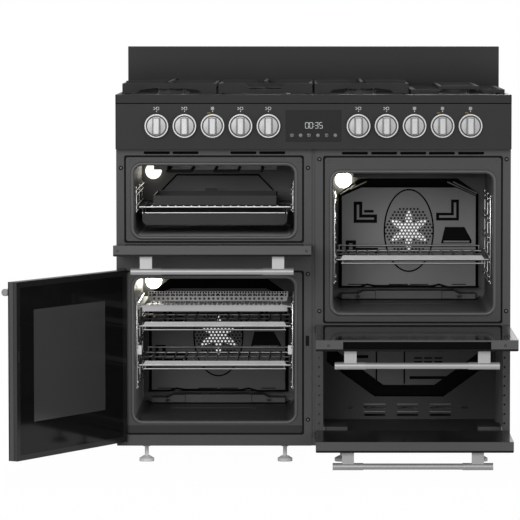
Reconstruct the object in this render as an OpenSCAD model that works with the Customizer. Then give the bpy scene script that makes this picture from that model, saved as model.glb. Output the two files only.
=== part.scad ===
// Range cooker with a grill oven, a tall fan oven, a main oven, a storage compartment and a gas hob.
// Front faces -Y, up is +Z. The plane Y = 0 is the face of the front frames, X = 0 is the cabinet's middle
// and Z = 0 is the floor. The doors are drawn open, as they stand at rest, each turned about its hinge pins.

/* [Cabinet] */
// Width of the cabinet, of the hob and of the control panel
cabinet_w = 1000; // [980:1:1100]
// Depth of the cabinet from the front frames to the back
cabinet_d = 600; // [580:1:640]
// Height of the cabinet's underside above the floor
foot_h = 46; // [44:1:60]
// Height of the front frames, from the underside to the control panel
frame_h = 756; // [756:1:780]
// Thickness of the folded steel sheets
sheet_t = 2; // [1.5:0.1:2.5]
// Width of the gap between the left and the right front frame
centre_gap = 9; // [6:0.5:10]
// Diameter of the levelling feet
foot_dia = 38; // [30:1:46]

/* [Control panel] */
// Height of the control panel
panel_h = 114.5; // [100:0.5:118]
// How far the control panel stands in front of the frames
panel_reach = 33; // [33:0.5:40]
// Distance between neighbouring knobs
knob_pitch = 70.6; // [66:0.1:71]
// Distance from the cabinet's middle to the first knob on each side
knob_first = 113.5; // [108:0.5:114]
// Diameter of a knob's skirt
knob_dia = 60; // [50:1:62]
// Diameter of a knob's spindle
spindle_dia = 8; // [6:0.5:9]
// How far a gas knob is pushed in to turn it
push_travel = 4; // [3:0.5:4.5]
// Width of the clock's glass
clock_w = 141; // [120:1:142]
// Height of the clock's glass
clock_h = 80; // [60:1:84]

/* [Hob] */
// Height of the hob's edge
hob_edge_h = 23; // [20:0.5:26]
// Depth of the well that the burners stand in
hob_well = 7; // [4:0.5:10]
// Height of the splashback above the hob
splash_h = 116; // [80:1:200]
// Depth of the splashback
splash_d = 20; // [16:1:24]
// Width of one pan support
support_w = 238; // [226:1:240]
// Height of the pan supports' top above the hob's edge
support_h = 32; // [28:1:40]
// Thickness of the pan supports' cast bars
cast_t = 9; // [7:0.5:10]

/* [Ovens] */
// Width of the oven openings
oven_w = 405; // [380:1:406]
// Depth of the oven cavities
oven_d = 450; // [420:1:460]
// Height of the grill oven's opening
grill_h = 178; // [170:1:180]
// Height of the grill oven's sill above the floor
grill_z = 581; // [579:1:585]
// Height of the fan oven's opening
fan_h = 362; // [340:1:364]
// Height of the fan oven's sill above the floor
fan_z = 110.5; // [106:0.5:112]
// Height of the main oven's opening
main_h = 353; // [330:1:354]
// Height of the main oven's sill above the floor
main_z = 386.5; // [384:0.5:392]
// Radius of the openings' corners
corner_r = 20; // [12:1:28]
// Width of the storage compartment's opening
store_w = 457; // [420:1:460]
// Height of the storage compartment's opening
store_h = 238; // [200:1:240]
// Height of the storage compartment's sill above the floor
store_z = 71; // [68:1:76]
// Depth of the storage compartment
store_d = 400; // [350:1:420]
// Diameter of the holes in the fan covers
cover_hole = 5.6; // [3:0.1:6]
// Distance between the holes in the fan covers
cover_pitch = 9.4; // [9:0.1:10]
// Diameter of the fans
fan_dia = 150; // [120:1:170]

/* [Doors] */
// Thickness of the doors
door_t = 27; // [24:0.5:30]
// Gap between the frames and the closed doors
door_gap = 4; // [3.5:0.1:5]
// Diameter of the hinge pins
pin_dia = 8; // [5:0.5:9]
// Diameter of the handle bars
bar_dia = 15.5; // [12:0.5:16]
// Diameter of the sleeves at the ends of the handle bars
sleeve_dia = 18; // [16:0.5:19]
// Clear space behind the handle bars
standoff = 30; // [26:0.5:31]
// Angle at which the grill door stands open
grill_open = 87.5; // [87:0.5:90]
// Angle at which the fan oven door stands open
fan_open = 120; // [90:0.5:130]
// Angle at which the main door stands open
main_open = 90; // [80:0.5:90]
// Angle at which the storage flap stands open
flap_open = 90; // [80:0.5:90]

/* [Shelves] */
// Diameter of the shelves' outer wire
frame_wire = 6.5; // [5:0.1:6.7]
// Diameter of the shelves' thin wires
thin_wire = 4; // [3:0.5:5]
// Space between the back wires of the shelves and the fan covers
shelf_clear = 11; // [9:1:60]
// Diameter of the ladders' wire
ladder_wire = 5; // [4:0.5:5]

/* [Hidden] */
$fn = 32;

// Paint of the steel, enamel inside the ovens, and bright metal
dark_steel = [0.16, 0.16, 0.17];
enamel = [0.1, 0.1, 0.11];
bright = [0.75, 0.75, 0.76];
cast_iron = [0.06, 0.06, 0.06];
rubber = [0.12, 0.12, 0.12];

half_w = cabinet_w / 2;
frame_top = foot_h + frame_h;
panel_top = frame_top + panel_h;
hob_z = panel_top + hob_edge_h;
plate_z = hob_z - hob_well;
knob_z = frame_top + 59;
panel_y = -panel_reach;
fit_gap = 0.05;
rest_gap = 0.3;

// Centre lines of the two oven columns, and the edges of the openings
column_x = 252;
left_x0 = -column_x - oven_w / 2;
left_x1 = -column_x + oven_w / 2;
right_x0 = column_x - oven_w / 2;
right_x1 = column_x + oven_w / 2;
store_x0 = column_x + 1 - store_w / 2;
store_x1 = column_x + 1 + store_w / 2;

// Flanges of the oven liners, measured from the openings
flange_side = 20.5;
grill_flange = [13, 21.5];
fan_flange = [31.5, 15.5];
main_flange = [23.5, 40];
groove = 5;
ledge = 8;
wall_t = 1.6;
cover_inset = 26;
cover_y = oven_d - 44;
cover_t = 1.5;
field_r = 62;
rung_inset = 6.5;
post_inset = 2.5;
post_r = 2.2;
rail_inset = 9;
rung_pair = 12.5;
rung_pitch = 50;
rim_w = 9;
shelf_front = 40;
shelf_d = cover_y - shelf_front - shelf_clear;
basket_y = [50, oven_d - 80];
pan_y = [60, oven_d - 70];
vents_left = [-column_x - 145, -column_x - 72, -column_x + 74.5, -column_x + 147.5];
vents_right = [column_x - 147, column_x - 73, column_x + 0.5, column_x + 73, column_x + 147];
rim_reach = door_gap - 0.6;

// Doors: closed they lie between these planes, and turn about pins at mid thickness
door_in = -door_gap;
door_out = -door_gap - door_t;
pin_y = -door_gap - door_t / 2;
pin_drop = 10;
pin_len = 9;
bracket_t = 3;
side_clear = 0.5;
gap_clear = 1.2;
skin_t = 1.5;
inner_t = 2;
glass_t = 4;
grill_door_x = [-494.5, -5.5];
main_door_x = [5.5, 496];
flap_x = [5.5, 496];
grill_pin_z = 548.5;
grill_door_h = 258.5;
main_pin_z = 342.5;
main_door_h = 454.5;
flap_pin_z = 72.5;
flap_h = 258;
fan_pin_x = -489;
fan_door_w = 491;
fan_door_z = 58.5;
fan_door_h = 436.5;
latch_z = fan_door_z + 241.5;
latch_h = 28;
hang_x = 8;
handle_drop = 30;
grip_inset = 42;
bracket_w = 30;
bracket_h = 12;
sleeve_len = 76;

// Hob: four fields side by side, six burners, gas knobs 1, 2, 4, 5, 6 and 7
field_pitch = 244;
field_x = [for (i = [-1.5:1:1.5]) i * field_pitch];
burner_front = 150;
burner_back = cabinet_d - 200;
burner_mid = (burner_front + burner_back) / 2;
burner_r = 34;
crown_z = 13;
finger_h = 12.5;
wok_r = 56;
wok_reach = burner_mid - 105;
wok_tip = 24;
wok_dip = 38;
twin_tip = 14;
burners_at = [
    [field_x[0], burner_front, burner_r], [field_x[0], burner_back, burner_r],
    [field_x[1], burner_mid, wok_r], [field_x[2], burner_front, burner_r],
    [field_x[2], burner_back, burner_r], [field_x[3], burner_mid, burner_r]
];
knob_x = [for (i = [4:-1:0]) -knob_first - i * knob_pitch, for (i = [0:4]) knob_first + i * knob_pitch];
gas_knobs = [1, 2, 4, 5, 6, 7];
switch_knobs = [3, 8, 9, 10];
knob_face = 8;
knob_gap = push_travel + 1.5;
tap_y = 12;
pipe_r = 10;
pipe_y = 52;
inlet_x = half_w - 40;
inlet_z = knob_z;
inlet_r = 10.48;
inlet_len = 20;
feet_x = [-427, -73, 73, 427];
feet_y = [60, cabinet_d - 60];

// ---- shapes that repeat ----
module slab(x0, x1, y0, y1, z0, z1) {
    translate([x0, y0, z0]) cube([x1 - x0, y1 - y0, z1 - z0]);
}

// A flat shape in X and Z, from y0 to y1
module upright(y0, y1) {
    translate([0, y1, 0]) rotate([90, 0, 0]) linear_extrude(y1 - y0) children();
}

// Rectangle with round corners, from corner to corner
module round_rect(x0, y0, x1, y1, r) {
    translate([x0 + r, y0]) square([x1 - x0 - 2 * r, y1 - y0]);
    translate([x0, y0 + r]) square([x1 - x0, y1 - y0 - 2 * r]);
    for (x = [x0 + r, x1 - r], y = [y0 + r, y1 - r]) translate([x, y]) circle(r);
}

module rod_x(x0, x1, y, z, r) {
    translate([x0, y, z]) rotate([0, 90, 0]) cylinder(h = x1 - x0, r = r);
}

module rod_y(x, y0, y1, z, r) {
    translate([x, y0, z]) rotate([-90, 0, 0]) cylinder(h = y1 - y0, r = r);
}

module rod_z(x, y, z0, z1, r) {
    translate([x, y, z0]) cylinder(h = z1 - z0, r = r);
}

// Turns a closed drop-down door about its pins to where it stands open
module dropped(pin_z, angle) {
    translate([0, pin_y, pin_z]) rotate([angle, 0, 0]) translate([0, -pin_y, -pin_z]) children();
}

// Turns the closed fan oven door about its pins to where it stands open
module swung(angle) {
    translate([fan_pin_x, pin_y, 0]) rotate([0, 0, -angle]) translate([-fan_pin_x, -pin_y, 0]) children();
}

// ---- cabinet ----
module base_frame() color(dark_steel) {
    difference() {
        slab(-half_w + sheet_t, half_w - sheet_t, sheet_t * 2, cabinet_d - sheet_t, foot_h, foot_h + 22);
        slab(-half_w + 2 * sheet_t, half_w - 2 * sheet_t, sheet_t * 3, cabinet_d - 2 * sheet_t,
            foot_h + sheet_t, foot_h + 23);
        for (x = feet_x, y = feet_y) rod_z(x, y, foot_h - 1, foot_h + sheet_t + 1, 5 + rest_gap);
        for (x = [-330:60:330]) slab(x, x + 34, 240, 246, foot_h - 1, foot_h + sheet_t + 1);
    }
    // partition between the two columns, folded as a channel
    difference() {
        slab(-18, 18, sheet_t * 3, cabinet_d - 2 * sheet_t, foot_h + sheet_t, frame_top - 2);
        slab(-18 + sheet_t, 18 + 1, sheet_t * 4, cabinet_d - 3 * sheet_t, foot_h + 8, frame_top - 1);
    }
}

module side_panels() color(dark_steel) {
    for (side = [-1, 1]) mirror([side < 0 ? 0 : 1, 0, 0]) {
        difference() {
            slab(-half_w, -half_w + 14, sheet_t * 2, cabinet_d, foot_h, panel_top);
            slab(-half_w + sheet_t, -half_w + 15, sheet_t, cabinet_d - sheet_t, foot_h - 1, panel_top + 1);
            slab(-half_w - 1, -half_w + 15, cabinet_d - 40, cabinet_d + 1, foot_h - 1, foot_h + 30);
        }
    }
}

module rear_panel() color([0.55, 0.55, 0.56]) {
    difference() {
        union() {
            slab(-half_w + 15, half_w - 15, cabinet_d - sheet_t, cabinet_d, foot_h + 24, panel_top);
            // cable entry bush
            rod_y(-380, cabinet_d - 8, cabinet_d + 4, foot_h + 90, 15);
            // raised stiffening panels
            for (x = [-column_x, column_x]) upright(cabinet_d, cabinet_d + 3)
                round_rect(x - 170, foot_h + 180, x + 170, panel_top - 190, 18);
        }
        rod_y(-380, cabinet_d - 9, cabinet_d + 5, foot_h + 90, 10);
        rod_y(inlet_x, cabinet_d - 5, cabinet_d + 1, inlet_z, inlet_r + 0.5);
        // cooling slots
        for (x = [-column_x, column_x], i = [-5:5], row = [0:2])
            upright(cabinet_d - 5, cabinet_d + 6)
                round_rect(x + i * 26 - 4, panel_top - 150 + row * 42, x + i * 26 + 4, panel_top - 118 + row * 42, 3.5);
    }
}

module frame_outline(x0, x1) {
    round_rect(x0, foot_h, x1, frame_top, 2);
}

// Opening in the front frame that the flange of a liner lies in
module flange_outline(x0, x1, z0, h, flange, grow) {
    round_rect(x0 - flange_side - grow, z0 - flange[0] - grow,
        x1 + flange_side + grow, z0 + h + flange[1] + grow, 6);
}

module vent_slots(x_list, z) {
    for (x = x_list) round_rect(x - 33, z, x + 33, z + 7, 3);
}

module left_cutouts(grow) {
    flange_outline(left_x0, left_x1, grill_z, grill_h, grill_flange, grow);
    flange_outline(left_x0, left_x1, fan_z, fan_h, fan_flange, grow);
}

module right_cutouts(grow) {
    flange_outline(right_x0, right_x1, main_z, main_h, main_flange, grow);
    round_rect(store_x0, store_z, store_x1, store_z + store_h, 3);
}

module front_frames() color(dark_steel) {
    gap_x = centre_gap / 2;
    // outer skins
    upright(0, sheet_t) difference() {
        frame_outline(-half_w, -gap_x);
        left_cutouts(groove);
        vent_slots(vents_left, frame_top - 13.5);
        translate([-15.5, latch_z + latch_h / 2]) square([9, 26], center = true);
    }
    upright(0, sheet_t) difference() {
        frame_outline(gap_x, half_w);
        right_cutouts(groove);
        vent_slots(vents_right, frame_top - 14.6);
        for (x = [14.5, half_w - 14.5], k = [0:7]) translate([x, store_z + 32 + k * 24]) circle(2.5);
    }
    // ledges behind the skins that carry the liners
    upright(sheet_t, 2 * sheet_t) difference() {
        frame_outline(-half_w, -gap_x);
        left_cutouts(-ledge);
        vent_slots(vents_left, frame_top - 13.5);
    }
    upright(sheet_t, 2 * sheet_t) difference() {
        frame_outline(gap_x, half_w);
        right_cutouts(-ledge);
        vent_slots(vents_right, frame_top - 14.6);
        for (x = [14.5, half_w - 14.5], k = [0:7]) translate([x, store_z + 32 + k * 24]) circle(2.5);
    }
}

module levelling_feet() color(rubber) {
    for (x = feet_x, y = feet_y) {
        rod_z(x, y, 0, 8, foot_dia / 2);
        translate([x, y, 8]) cylinder(h = 6, r1 = foot_dia / 2, r2 = 9);
        rod_z(x, y, 14, foot_h + 12, 5);
        translate([x, y, foot_h - 8]) cylinder(h = 7.7, r = 9, $fn = 6);
    }
}

// ---- hob ----
module hob_top() color(dark_steel) {
    difference() {
        union() {
            upright_edge = 3;
            slab(-half_w, half_w, panel_y + upright_edge, cabinet_d, panel_top, hob_z);
            slab(-half_w + 6, half_w - 6, panel_y, cabinet_d, panel_top, hob_z - upright_edge);
            for (side = [-1, 1]) translate([side * (half_w - 6), panel_y + 6, panel_top])
                cylinder(h = hob_edge_h - upright_edge, r = 6);
            rod_x(-half_w + 6, half_w - 6, panel_y + upright_edge, hob_z - upright_edge, upright_edge);
        }
        slab(-half_w + 10, half_w - 10, 12, cabinet_d - 34, plate_z, hob_z + 1);
        slab(-half_w + 3, half_w - 3, panel_y + 6, cabinet_d - 3, panel_top - 1, plate_z - sheet_t);
        for (b = burners_at) rod_z(b[0], b[1], panel_top, hob_z, b[2] - 8);
        // shadow gap above the control panel
        slab(-half_w - 1, half_w + 1, panel_y - 1, panel_y + 3, panel_top - 1, panel_top + 2);
    }
}

module splashback() color(dark_steel) {
    back = cabinet_d - 2;
    difference() {
        union() {
            slab(-half_w + 3, half_w - 3, back - splash_d, back, hob_z, hob_z + splash_h - 4);
            slab(-half_w + 3, half_w - 3, back - splash_d + 4, back, hob_z, hob_z + splash_h);
            rod_x(-half_w + 3, half_w - 3, back - splash_d + 4, hob_z + splash_h - 4, 4);
        }
        slab(-half_w + 5, half_w - 5, back - splash_d + sheet_t, back + 1, hob_z + 12, hob_z + splash_h - 6);
    }
}

module burners() color([0.3, 0.3, 0.3]) {
    for (b = burners_at) translate([b[0], b[1], plate_z]) burner(b[2]);
}

// One burner: cup with its neck below the hob, flame crown with slots, and cap
module burner(r) {
    rotate_extrude($fn = 48) polygon([
        [0, -30], [r - 14, -30], [r - 10, -14], [r - 9, 0.3], [r + 8, 0.3], [r + 6, 4],
        [r, 6], [r - 2, crown_z], [0, crown_z]
    ]);
    difference() {
        translate([0, 0, crown_z]) cylinder(h = 5, r = r - 3, $fn = 48);
        for (i = [0:11]) rotate([0, 0, i * 30]) translate([r - 6, -1, crown_z + 1]) cube([8, 2, 5]);
    }
    translate([0, 0, crown_z + 5]) rotate_extrude($fn = 48) polygon([
        [0, 0], [r - 1, 0], [r, 1.5], [r - 1, 4], [r - 6, 6], [0, 6.5]
    ]);
    // spark electrode
    translate([r + 3, 0, 0.3]) cylinder(h = 16, r = 2);
}

// A cast bar standing on edge, from one point to another in plan, with its top at z1
module cast_bar(x0, y0, x1, y1, z0, z1, t) {
    len = sqrt(pow(x1 - x0, 2) + pow(y1 - y0, 2));
    translate([x0, y0, z0]) rotate([0, 0, atan2(y1 - y0, x1 - x0)]) {
        translate([0, -t / 2, 0]) cube([len, t, z1 - z0]);
        cylinder(h = z1 - z0, r = t / 2);
    }
}

// Front or back rail of a pan support: feet at its ends, an arch between them or a dip over a wok
module cast_rail(x, y, dip) {
    w = support_w;
    base = hob_z + 3;
    top = hob_z + support_h - 4;
    upright(y, y + cast_t) difference() {
        polygon([
            [x - w / 2, base], [x - w / 2, top - 6], [x - w / 2 + 7, top],
            [x + w / 2 - 7, top], [x + w / 2, top - 6], [x + w / 2, base]
        ]);
        if (dip > 0) polygon([[x - dip - 14, top + 1], [x - dip, base + 9], [x + dip, base + 9], [x + dip + 14, top + 1]]);
        else polygon([
            [x - w / 2 + 36, base - 1], [x - w / 2 + 46, base + 8], [x - 30, base + 13],
            [x + 30, base + 13], [x + w / 2 - 46, base + 8], [x + w / 2 - 36, base - 1]
        ]);
    }
}

// Cast frame on feet, with fingers that reach towards each burner
module pan_support(x, burner_y, reach, inner_r, dip) color(cast_iron) {
    top = hob_z + support_h;
    low = top - finger_h;
    x0 = x - support_w / 2;
    x1 = x + support_w / 2;
    y0 = 26;
    y1 = cabinet_d - 62;
    cast_rail(x, y0, dip);
    cast_rail(x, y1 - cast_t, dip);
    for (sx = [x0, x1 - cast_t]) {
        slab(sx, sx + cast_t, y0 + 1, y1 - 1, low - 2, top - 5);
        for (sy = [y0, y1 - cast_t]) slab(sx, sx + cast_t, sy, sy + cast_t, plate_z + rest_gap, low);
        slab(sx, sx + cast_t, burner_mid - 12, burner_mid + 12, plate_z + rest_gap, low);
    }
    for (by = burner_y, a = [0:90:270]) {
        tip = [x + inner_r * cos(a), by + inner_r * sin(a)];
        far_y = min(max(by + reach * sin(a), y0 + 4), y1 - 4);
        far = a == 0 ? [x1 - 4, by] : a == 180 ? [x0 + 4, by] : [x, far_y];
        cast_bar(tip[0], tip[1], far[0], far[1], low, top, cast_t - 1);
    }
    if (len(burner_y) > 1) slab(x0 + 1, x1 - 1, burner_mid - cast_t / 2, burner_mid + cast_t / 2, low - 2, top - 5);
    else for (s = [-1, 1]) slab(x0 + 1, x1 - 1, burner_mid + s * reach - cast_t / 2,
        burner_mid + s * reach + cast_t / 2, low - 2, top - 5);
}

twin_reach = (burner_back - burner_front) / 2 + 8;
module pan_support_1() pan_support(field_x[0], [burner_front, burner_back], twin_reach, twin_tip, 0);
module pan_support_2() pan_support(field_x[1], [burner_mid], wok_reach, wok_tip, wok_dip);
module pan_support_3() pan_support(field_x[2], [burner_front, burner_back], twin_reach, twin_tip, 0);

// The right-hand support is a lower frame whose middle is raised like a bridge
module bridge_rail(x, y) {
    w = support_w / 2;
    low = hob_z + 4;
    high = hob_z + 13;
    t = 8;
    upright(y, y + 12) polygon([
        [x - w, low], [x - 50, low], [x - 40, high], [x + 56, high], [x + 66, low], [x + w, low],
        [x + w, low + t], [x + 62, low + t], [x + 52, high + t], [x - 36, high + t], [x - 46, low + t],
        [x - w, low + t]
    ]);
}

module pan_support_4() color(cast_iron) {
    x = field_x[3];
    w = support_w / 2;
    y0 = 24;
    y1 = cabinet_d - 60;
    low = hob_z + 4;
    bridge_rail(x, y0);
    bridge_rail(x, y1 - 12);
    for (sx = [x - w, x + w - 12]) {
        slab(sx, sx + 12, y0 + 1, y1 - 1, low, low + 8);
        for (sy = [y0, burner_mid - 6, y1 - 12]) slab(sx, sx + 12, sy, sy + 12, plate_z + rest_gap, low + 1);
    }
    // two long bars of the raised bed and the bars across it, clear of the burner
    for (bx = [x - 44, x + 50]) slab(bx - 4, bx + 4, y0 + 1, y1 - 1, low + 5, low + 17);
    for (by = [y0 + 60:50:y1 - 50]) if (abs(by - burner_mid) > 50)
        slab(x - 44, x + 50, by - 4, by + 4, low + 9, low + 17);
    for (by = [y0 + 85:110:y1 - 50]) {
        slab(x - w + 1, x - 44, by - 4, by + 4, low, low + 8);
        slab(x + 50, x + w - 1, by - 4, by + 4, low, low + 8);
    }
}

// ---- control panel ----
module control_panel() color(dark_steel) {
    inner = 6;
    difference() {
        union() {
            slab(-half_w, half_w, panel_y + 4, 0, frame_top, panel_top);
            slab(-half_w + 4, half_w - 4, panel_y, 0, frame_top, panel_top);
            for (side = [-1, 1]) rod_z(side * (half_w - 4), panel_y + 4, frame_top, panel_top, 4);
            // brackets that fasten the panel to the side panels
            for (side = [-1, 1]) slab(side * (half_w - 10) - 8, side * (half_w - 10) + 8,
                0, sheet_t * 2 - rest_gap, frame_top + 20, panel_top - 20);
        }
        difference() {
            slab(-half_w + inner, half_w - inner, panel_y + sheet_t, 1, frame_top + sheet_t, panel_top - sheet_t);
            // bodies of the switches behind the electric knobs
            for (i = switch_knobs) rod_y(knob_x[i - 1], panel_y, panel_y + 15, knob_z, 13);
        }
        for (i = gas_knobs) rod_y(knob_x[i - 1], panel_y - 1, panel_y + 3, knob_z, spindle_dia / 2 + 0.6);
        for (i = switch_knobs) rod_y(knob_x[i - 1], panel_y - 1, panel_y + 16, knob_z, spindle_dia / 2 + fit_gap);
        slab(-clock_w / 2, clock_w / 2, panel_y - 1, panel_y + 3, knob_z - clock_h / 2, knob_z + clock_h / 2);
    }
}

module clock_display() color([0.02, 0.02, 0.02]) {
    edge = 0.4;
    slab(-clock_w / 2 + edge, clock_w / 2 - edge, panel_y - 0.6, panel_y + sheet_t,
        knob_z - clock_h / 2 + edge, knob_z + clock_h / 2 - edge);
    // housing of the timer's circuit board behind the glass
    slab(-clock_w / 2 - 4, clock_w / 2 + 4, panel_y + sheet_t, panel_y + 24,
        knob_z - clock_h / 2 - 3, knob_z + clock_h / 2 + 3);
}

// Knob with skirt ring, groove, disc and grip, turned about its own spindle bore
module knob(i) color(bright) {
    x = knob_x[i - 1];
    gas = len([for (g = gas_knobs) if (g == i) 1]) > 0;
    y = panel_y - (gas ? knob_gap : 1.2);
    r = knob_dia / 2;
    disc = r - 6;
    translate([x, y, knob_z]) rotate([90, 0, 0]) difference() {
        union() {
            rotate_extrude($fn = 64) polygon([
                [0, 0], [r - 1.5, 0], [r, 1.5], [r, knob_face], [r - 1, knob_face + 1],
                [r - 3, knob_face + 1], [r - 4, knob_face - 2], [disc, knob_face - 2],
                [disc - 1, knob_face + 2], [0, knob_face + 3]
            ]);
            // grip, a bar with slanted flanks and round ends
            translate([0, 0, knob_face]) intersection() {
                rotate([90, 0, 0]) linear_extrude(48, center = true)
                    polygon([[-10, 0], [10, 0], [8, 15], [6, 17], [-6, 17], [-8, 15]]);
                cylinder(h = 17, r1 = 22.5, r2 = 19.5, $fn = 64);
            }
            if (!gas) translate([0, 0, -14]) cylinder(h = 14, r = spindle_dia / 2);
        }
        if (gas) translate([0, 0, -1]) cylinder(h = 13, r = spindle_dia / 2 + fit_gap);
        // pointer line cut in the grip
        translate([-0.8, 8, knob_face + 16.2]) cube([1.6, 11, 2]);
    }
}

module knob_1() knob(1);
module knob_2() knob(2);
module knob_3() knob(3);
module knob_4() knob(4);
module knob_5() knob(5);
module knob_6() knob(6);
module knob_7() knob(7);
module knob_8() knob(8);
module knob_9() knob(9);
module knob_10() knob(10);

// Spindle of a gas tap: it slides in the tap, and the knob turns on it
module tap_spindle(i) color([0.7, 0.62, 0.35]) {
    x = knob_x[i - 1];
    front = panel_y - knob_gap - 11.4;
    rod_y(x, front, tap_y + 12, knob_z, spindle_dia / 2);
    // stop collar behind the panel
    rod_y(x, panel_y + 9, panel_y + 12, knob_z, spindle_dia / 2 + 3);
}

module tap_spindle_1() tap_spindle(1);
module tap_spindle_2() tap_spindle(2);
module tap_spindle_4() tap_spindle(4);
module tap_spindle_5() tap_spindle(5);
module tap_spindle_6() tap_spindle(6);
module tap_spindle_7() tap_spindle(7);

// Supply pipe behind the panel, a tap for each gas knob, and the inlet at the back
module gas_manifold() color([0.62, 0.6, 0.55]) {
    difference() {
        union() {
            rod_x(knob_x[0] - 20, inlet_x, pipe_y, inlet_z, pipe_r);
            translate([inlet_x, pipe_y, inlet_z]) sphere(pipe_r);
            rod_y(inlet_x, pipe_y, cabinet_d + 1, inlet_z, pipe_r);
            rod_y(inlet_x, cabinet_d, cabinet_d + inlet_len, inlet_z, inlet_r);
            // legs that stand on the roofs of the grill oven and of the main oven
            slab(-column_x - 9, -column_x + 9, pipe_y - 3, pipe_y + 3, grill_z + grill_h + wall_t, inlet_z);
            slab(column_x - 9, column_x + 9, pipe_y - 3, pipe_y + 3, main_z + main_h + wall_t, inlet_z);
            for (i = gas_knobs) {
                x = knob_x[i - 1];
                slab(x - 11, x + 11, tap_y, pipe_y, inlet_z - 11, inlet_z + 11);
                rod_y(x, tap_y - 8, tap_y, inlet_z, 9);
                rod_z(x, pipe_y - 16, inlet_z, inlet_z + 24, 6);
            }
        }
        for (i = gas_knobs) rod_y(knob_x[i - 1], tap_y - 9, tap_y + 20, inlet_z, spindle_dia / 2 + fit_gap);
        rod_y(inlet_x, cabinet_d - 20, cabinet_d + inlet_len + 1, inlet_z, 7.5);
    }
}

// ---- ovens ----
// A liner: flange in the front frame, round-cornered cavity and a flat back
module liner(x0, x1, z0, h, flange) {
    wall = wall_t;
    upright(0, sheet_t) difference() {
        flange_outline(x0, x1, z0, h, flange, 0);
        round_rect(x0, z0, x1, z0 + h, corner_r);
    }
    upright(sheet_t, oven_d) difference() {
        round_rect(x0 - wall, z0 - wall, x1 + wall, z0 + h + wall, corner_r + wall);
        round_rect(x0, z0, x1, z0 + h, corner_r);
    }
    upright(oven_d, oven_d + wall) round_rect(x0 - wall, z0 - wall, x1 + wall, z0 + h + wall, corner_r + wall);
}

// Pressed step along the floor of a tall oven, below its fan cover
module floor_step(x0, x1, z0) {
    difference() {
        upright(oven_d - 36, oven_d) polygon([
            [x0 + 26, z0], [x0 + 26, z0 + 18], [x0 + 70, z0 + 18], [x0 + 84, z0 + 26],
            [x1 - 84, z0 + 26], [x1 - 70, z0 + 18], [x1 - 26, z0 + 18], [x1 - 26, z0]
        ]);
        for (x = [x0 + 60, x1 - 74]) slab(x, x + 14, oven_d - 37, oven_d - 20, z0 + 6, z0 + 12);
    }
}

module grill_oven_liner() color(enamel) {
    difference() {
        union() {
            liner(left_x0, left_x1, grill_z, grill_h, grill_flange);
            // pressed trapezoid on the back wall
            upright(oven_d - 5, oven_d) difference() {
                polygon([[-440, grill_z + 62], [-398, grill_z + 104], [-188, grill_z + 104], [-148, grill_z + 62]]);
                polygon([[-430, grill_z + 64], [-395, grill_z + 99], [-191, grill_z + 99], [-158, grill_z + 64]]);
            }
        }
        // hole for the fan-less oven's lamp
        rod_y(lamp_x[0], oven_d - 8, oven_d + 3, lamp_z[0], lamp_r - 4);
    }
}

module fan_oven_liner() color(enamel) {
    difference() {
        union() {
            liner(left_x0, left_x1, fan_z, fan_h, fan_flange);
            floor_step(left_x0, left_x1, fan_z);
        }
        rod_y(-column_x, oven_d - 1, oven_d + 3, fan_z + fan_h / 2 + fan_rise[0], 12);
        rod_y(lamp_x[1], oven_d - 8, oven_d + 3, lamp_z[1], lamp_r - 4);
    }
}

module main_oven_liner() color(enamel) {
    difference() {
        union() {
            liner(right_x0, right_x1, main_z, main_h, main_flange);
            floor_step(right_x0, right_x1, main_z);
        }
        rod_y(column_x, oven_d - 1, oven_d + 3, main_z + main_h / 2 + fan_rise[1], 12);
        rod_y(lamp_x[2], oven_d - 8, oven_d + 3, lamp_z[2], lamp_r - 4);
    }
}

fan_rise = [2, 8];
lamp_r = 21;
lamp_x = [left_x0 + 30, left_x0 + 30, right_x0 + 30];
lamp_z = [grill_z + grill_h - 32, fan_z + fan_h - 37, main_z + main_h - 36];

module oven_lamps() color([1, 0.96, 0.82]) {
    for (i = [0:2]) translate([lamp_x[i], oven_d - rest_gap, lamp_z[i]]) rotate([90, 0, 0]) {
        rotate_extrude($fn = 40) polygon([
            [0, 0], [lamp_r, 0], [lamp_r, 3], [lamp_r - 2, 8], [lamp_r - 8, 13], [0, 15]
        ]);
        translate([0, 0, -14]) cylinder(h = 14, r = lamp_r - 6);
    }
}

// Marks pressed into a fan cover, as bars measured from the fan's centre: [x0, z0, x1, z1]
cover_bars = [
    [-146, 20, -123, 76.5], [-146, 20, -84, 42.5], [111.5, 26.5, 132.5, 82], [72, 26.5, 132.5, 47],
    [-167, -70, -139.5, -26], [-167, -70, -81.5, -46], [-118.5, 47.5, -93, 54.5]
];
cover_ridges = [
    [-137.5, 29, -131.5, 68], [-137.5, 29, -92, 34], [119, 34, 125, 74], [80, 34, 125, 40],
    [-158, -62, -149, -34], [-158, -62, -90, -54], [92, -31.5, 160, -27]
];
cover_slots = [[-160.5, -115.5], [-53, -2], [3.5, 52], [114.5, 151.5]];
oval_half = [62.6, 106];
oval_line = 4.2;
press_t = 1.2;

module bar_shape(b, grow) {
    translate([b[0] - grow, b[1] - grow]) square([b[2] - b[0] + 2 * grow, b[3] - b[1] + 2 * grow]);
}

module oval_shape(grow) {
    polygon([for (i = [0:5:355]) [(oval_half[0] + grow) * cos(i), (oval_half[1] + grow) * sin(i)]]);
}

// The pressed marks in outline, let out by some millimetres
module cover_marks(grow) {
    for (b = cover_bars) bar_shape(b, grow);
    polygon([
        [95.5 - grow, 9.5 + grow], [147 + grow * 0.6, 9.5 + grow], [166 + grow, -25 + grow * 0.6],
        [166 + grow, -34 - grow], [85 - grow, -34 - grow]
    ]);
    difference() {
        oval_shape(oval_line + grow);
        oval_shape(-grow);
    }
}

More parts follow.
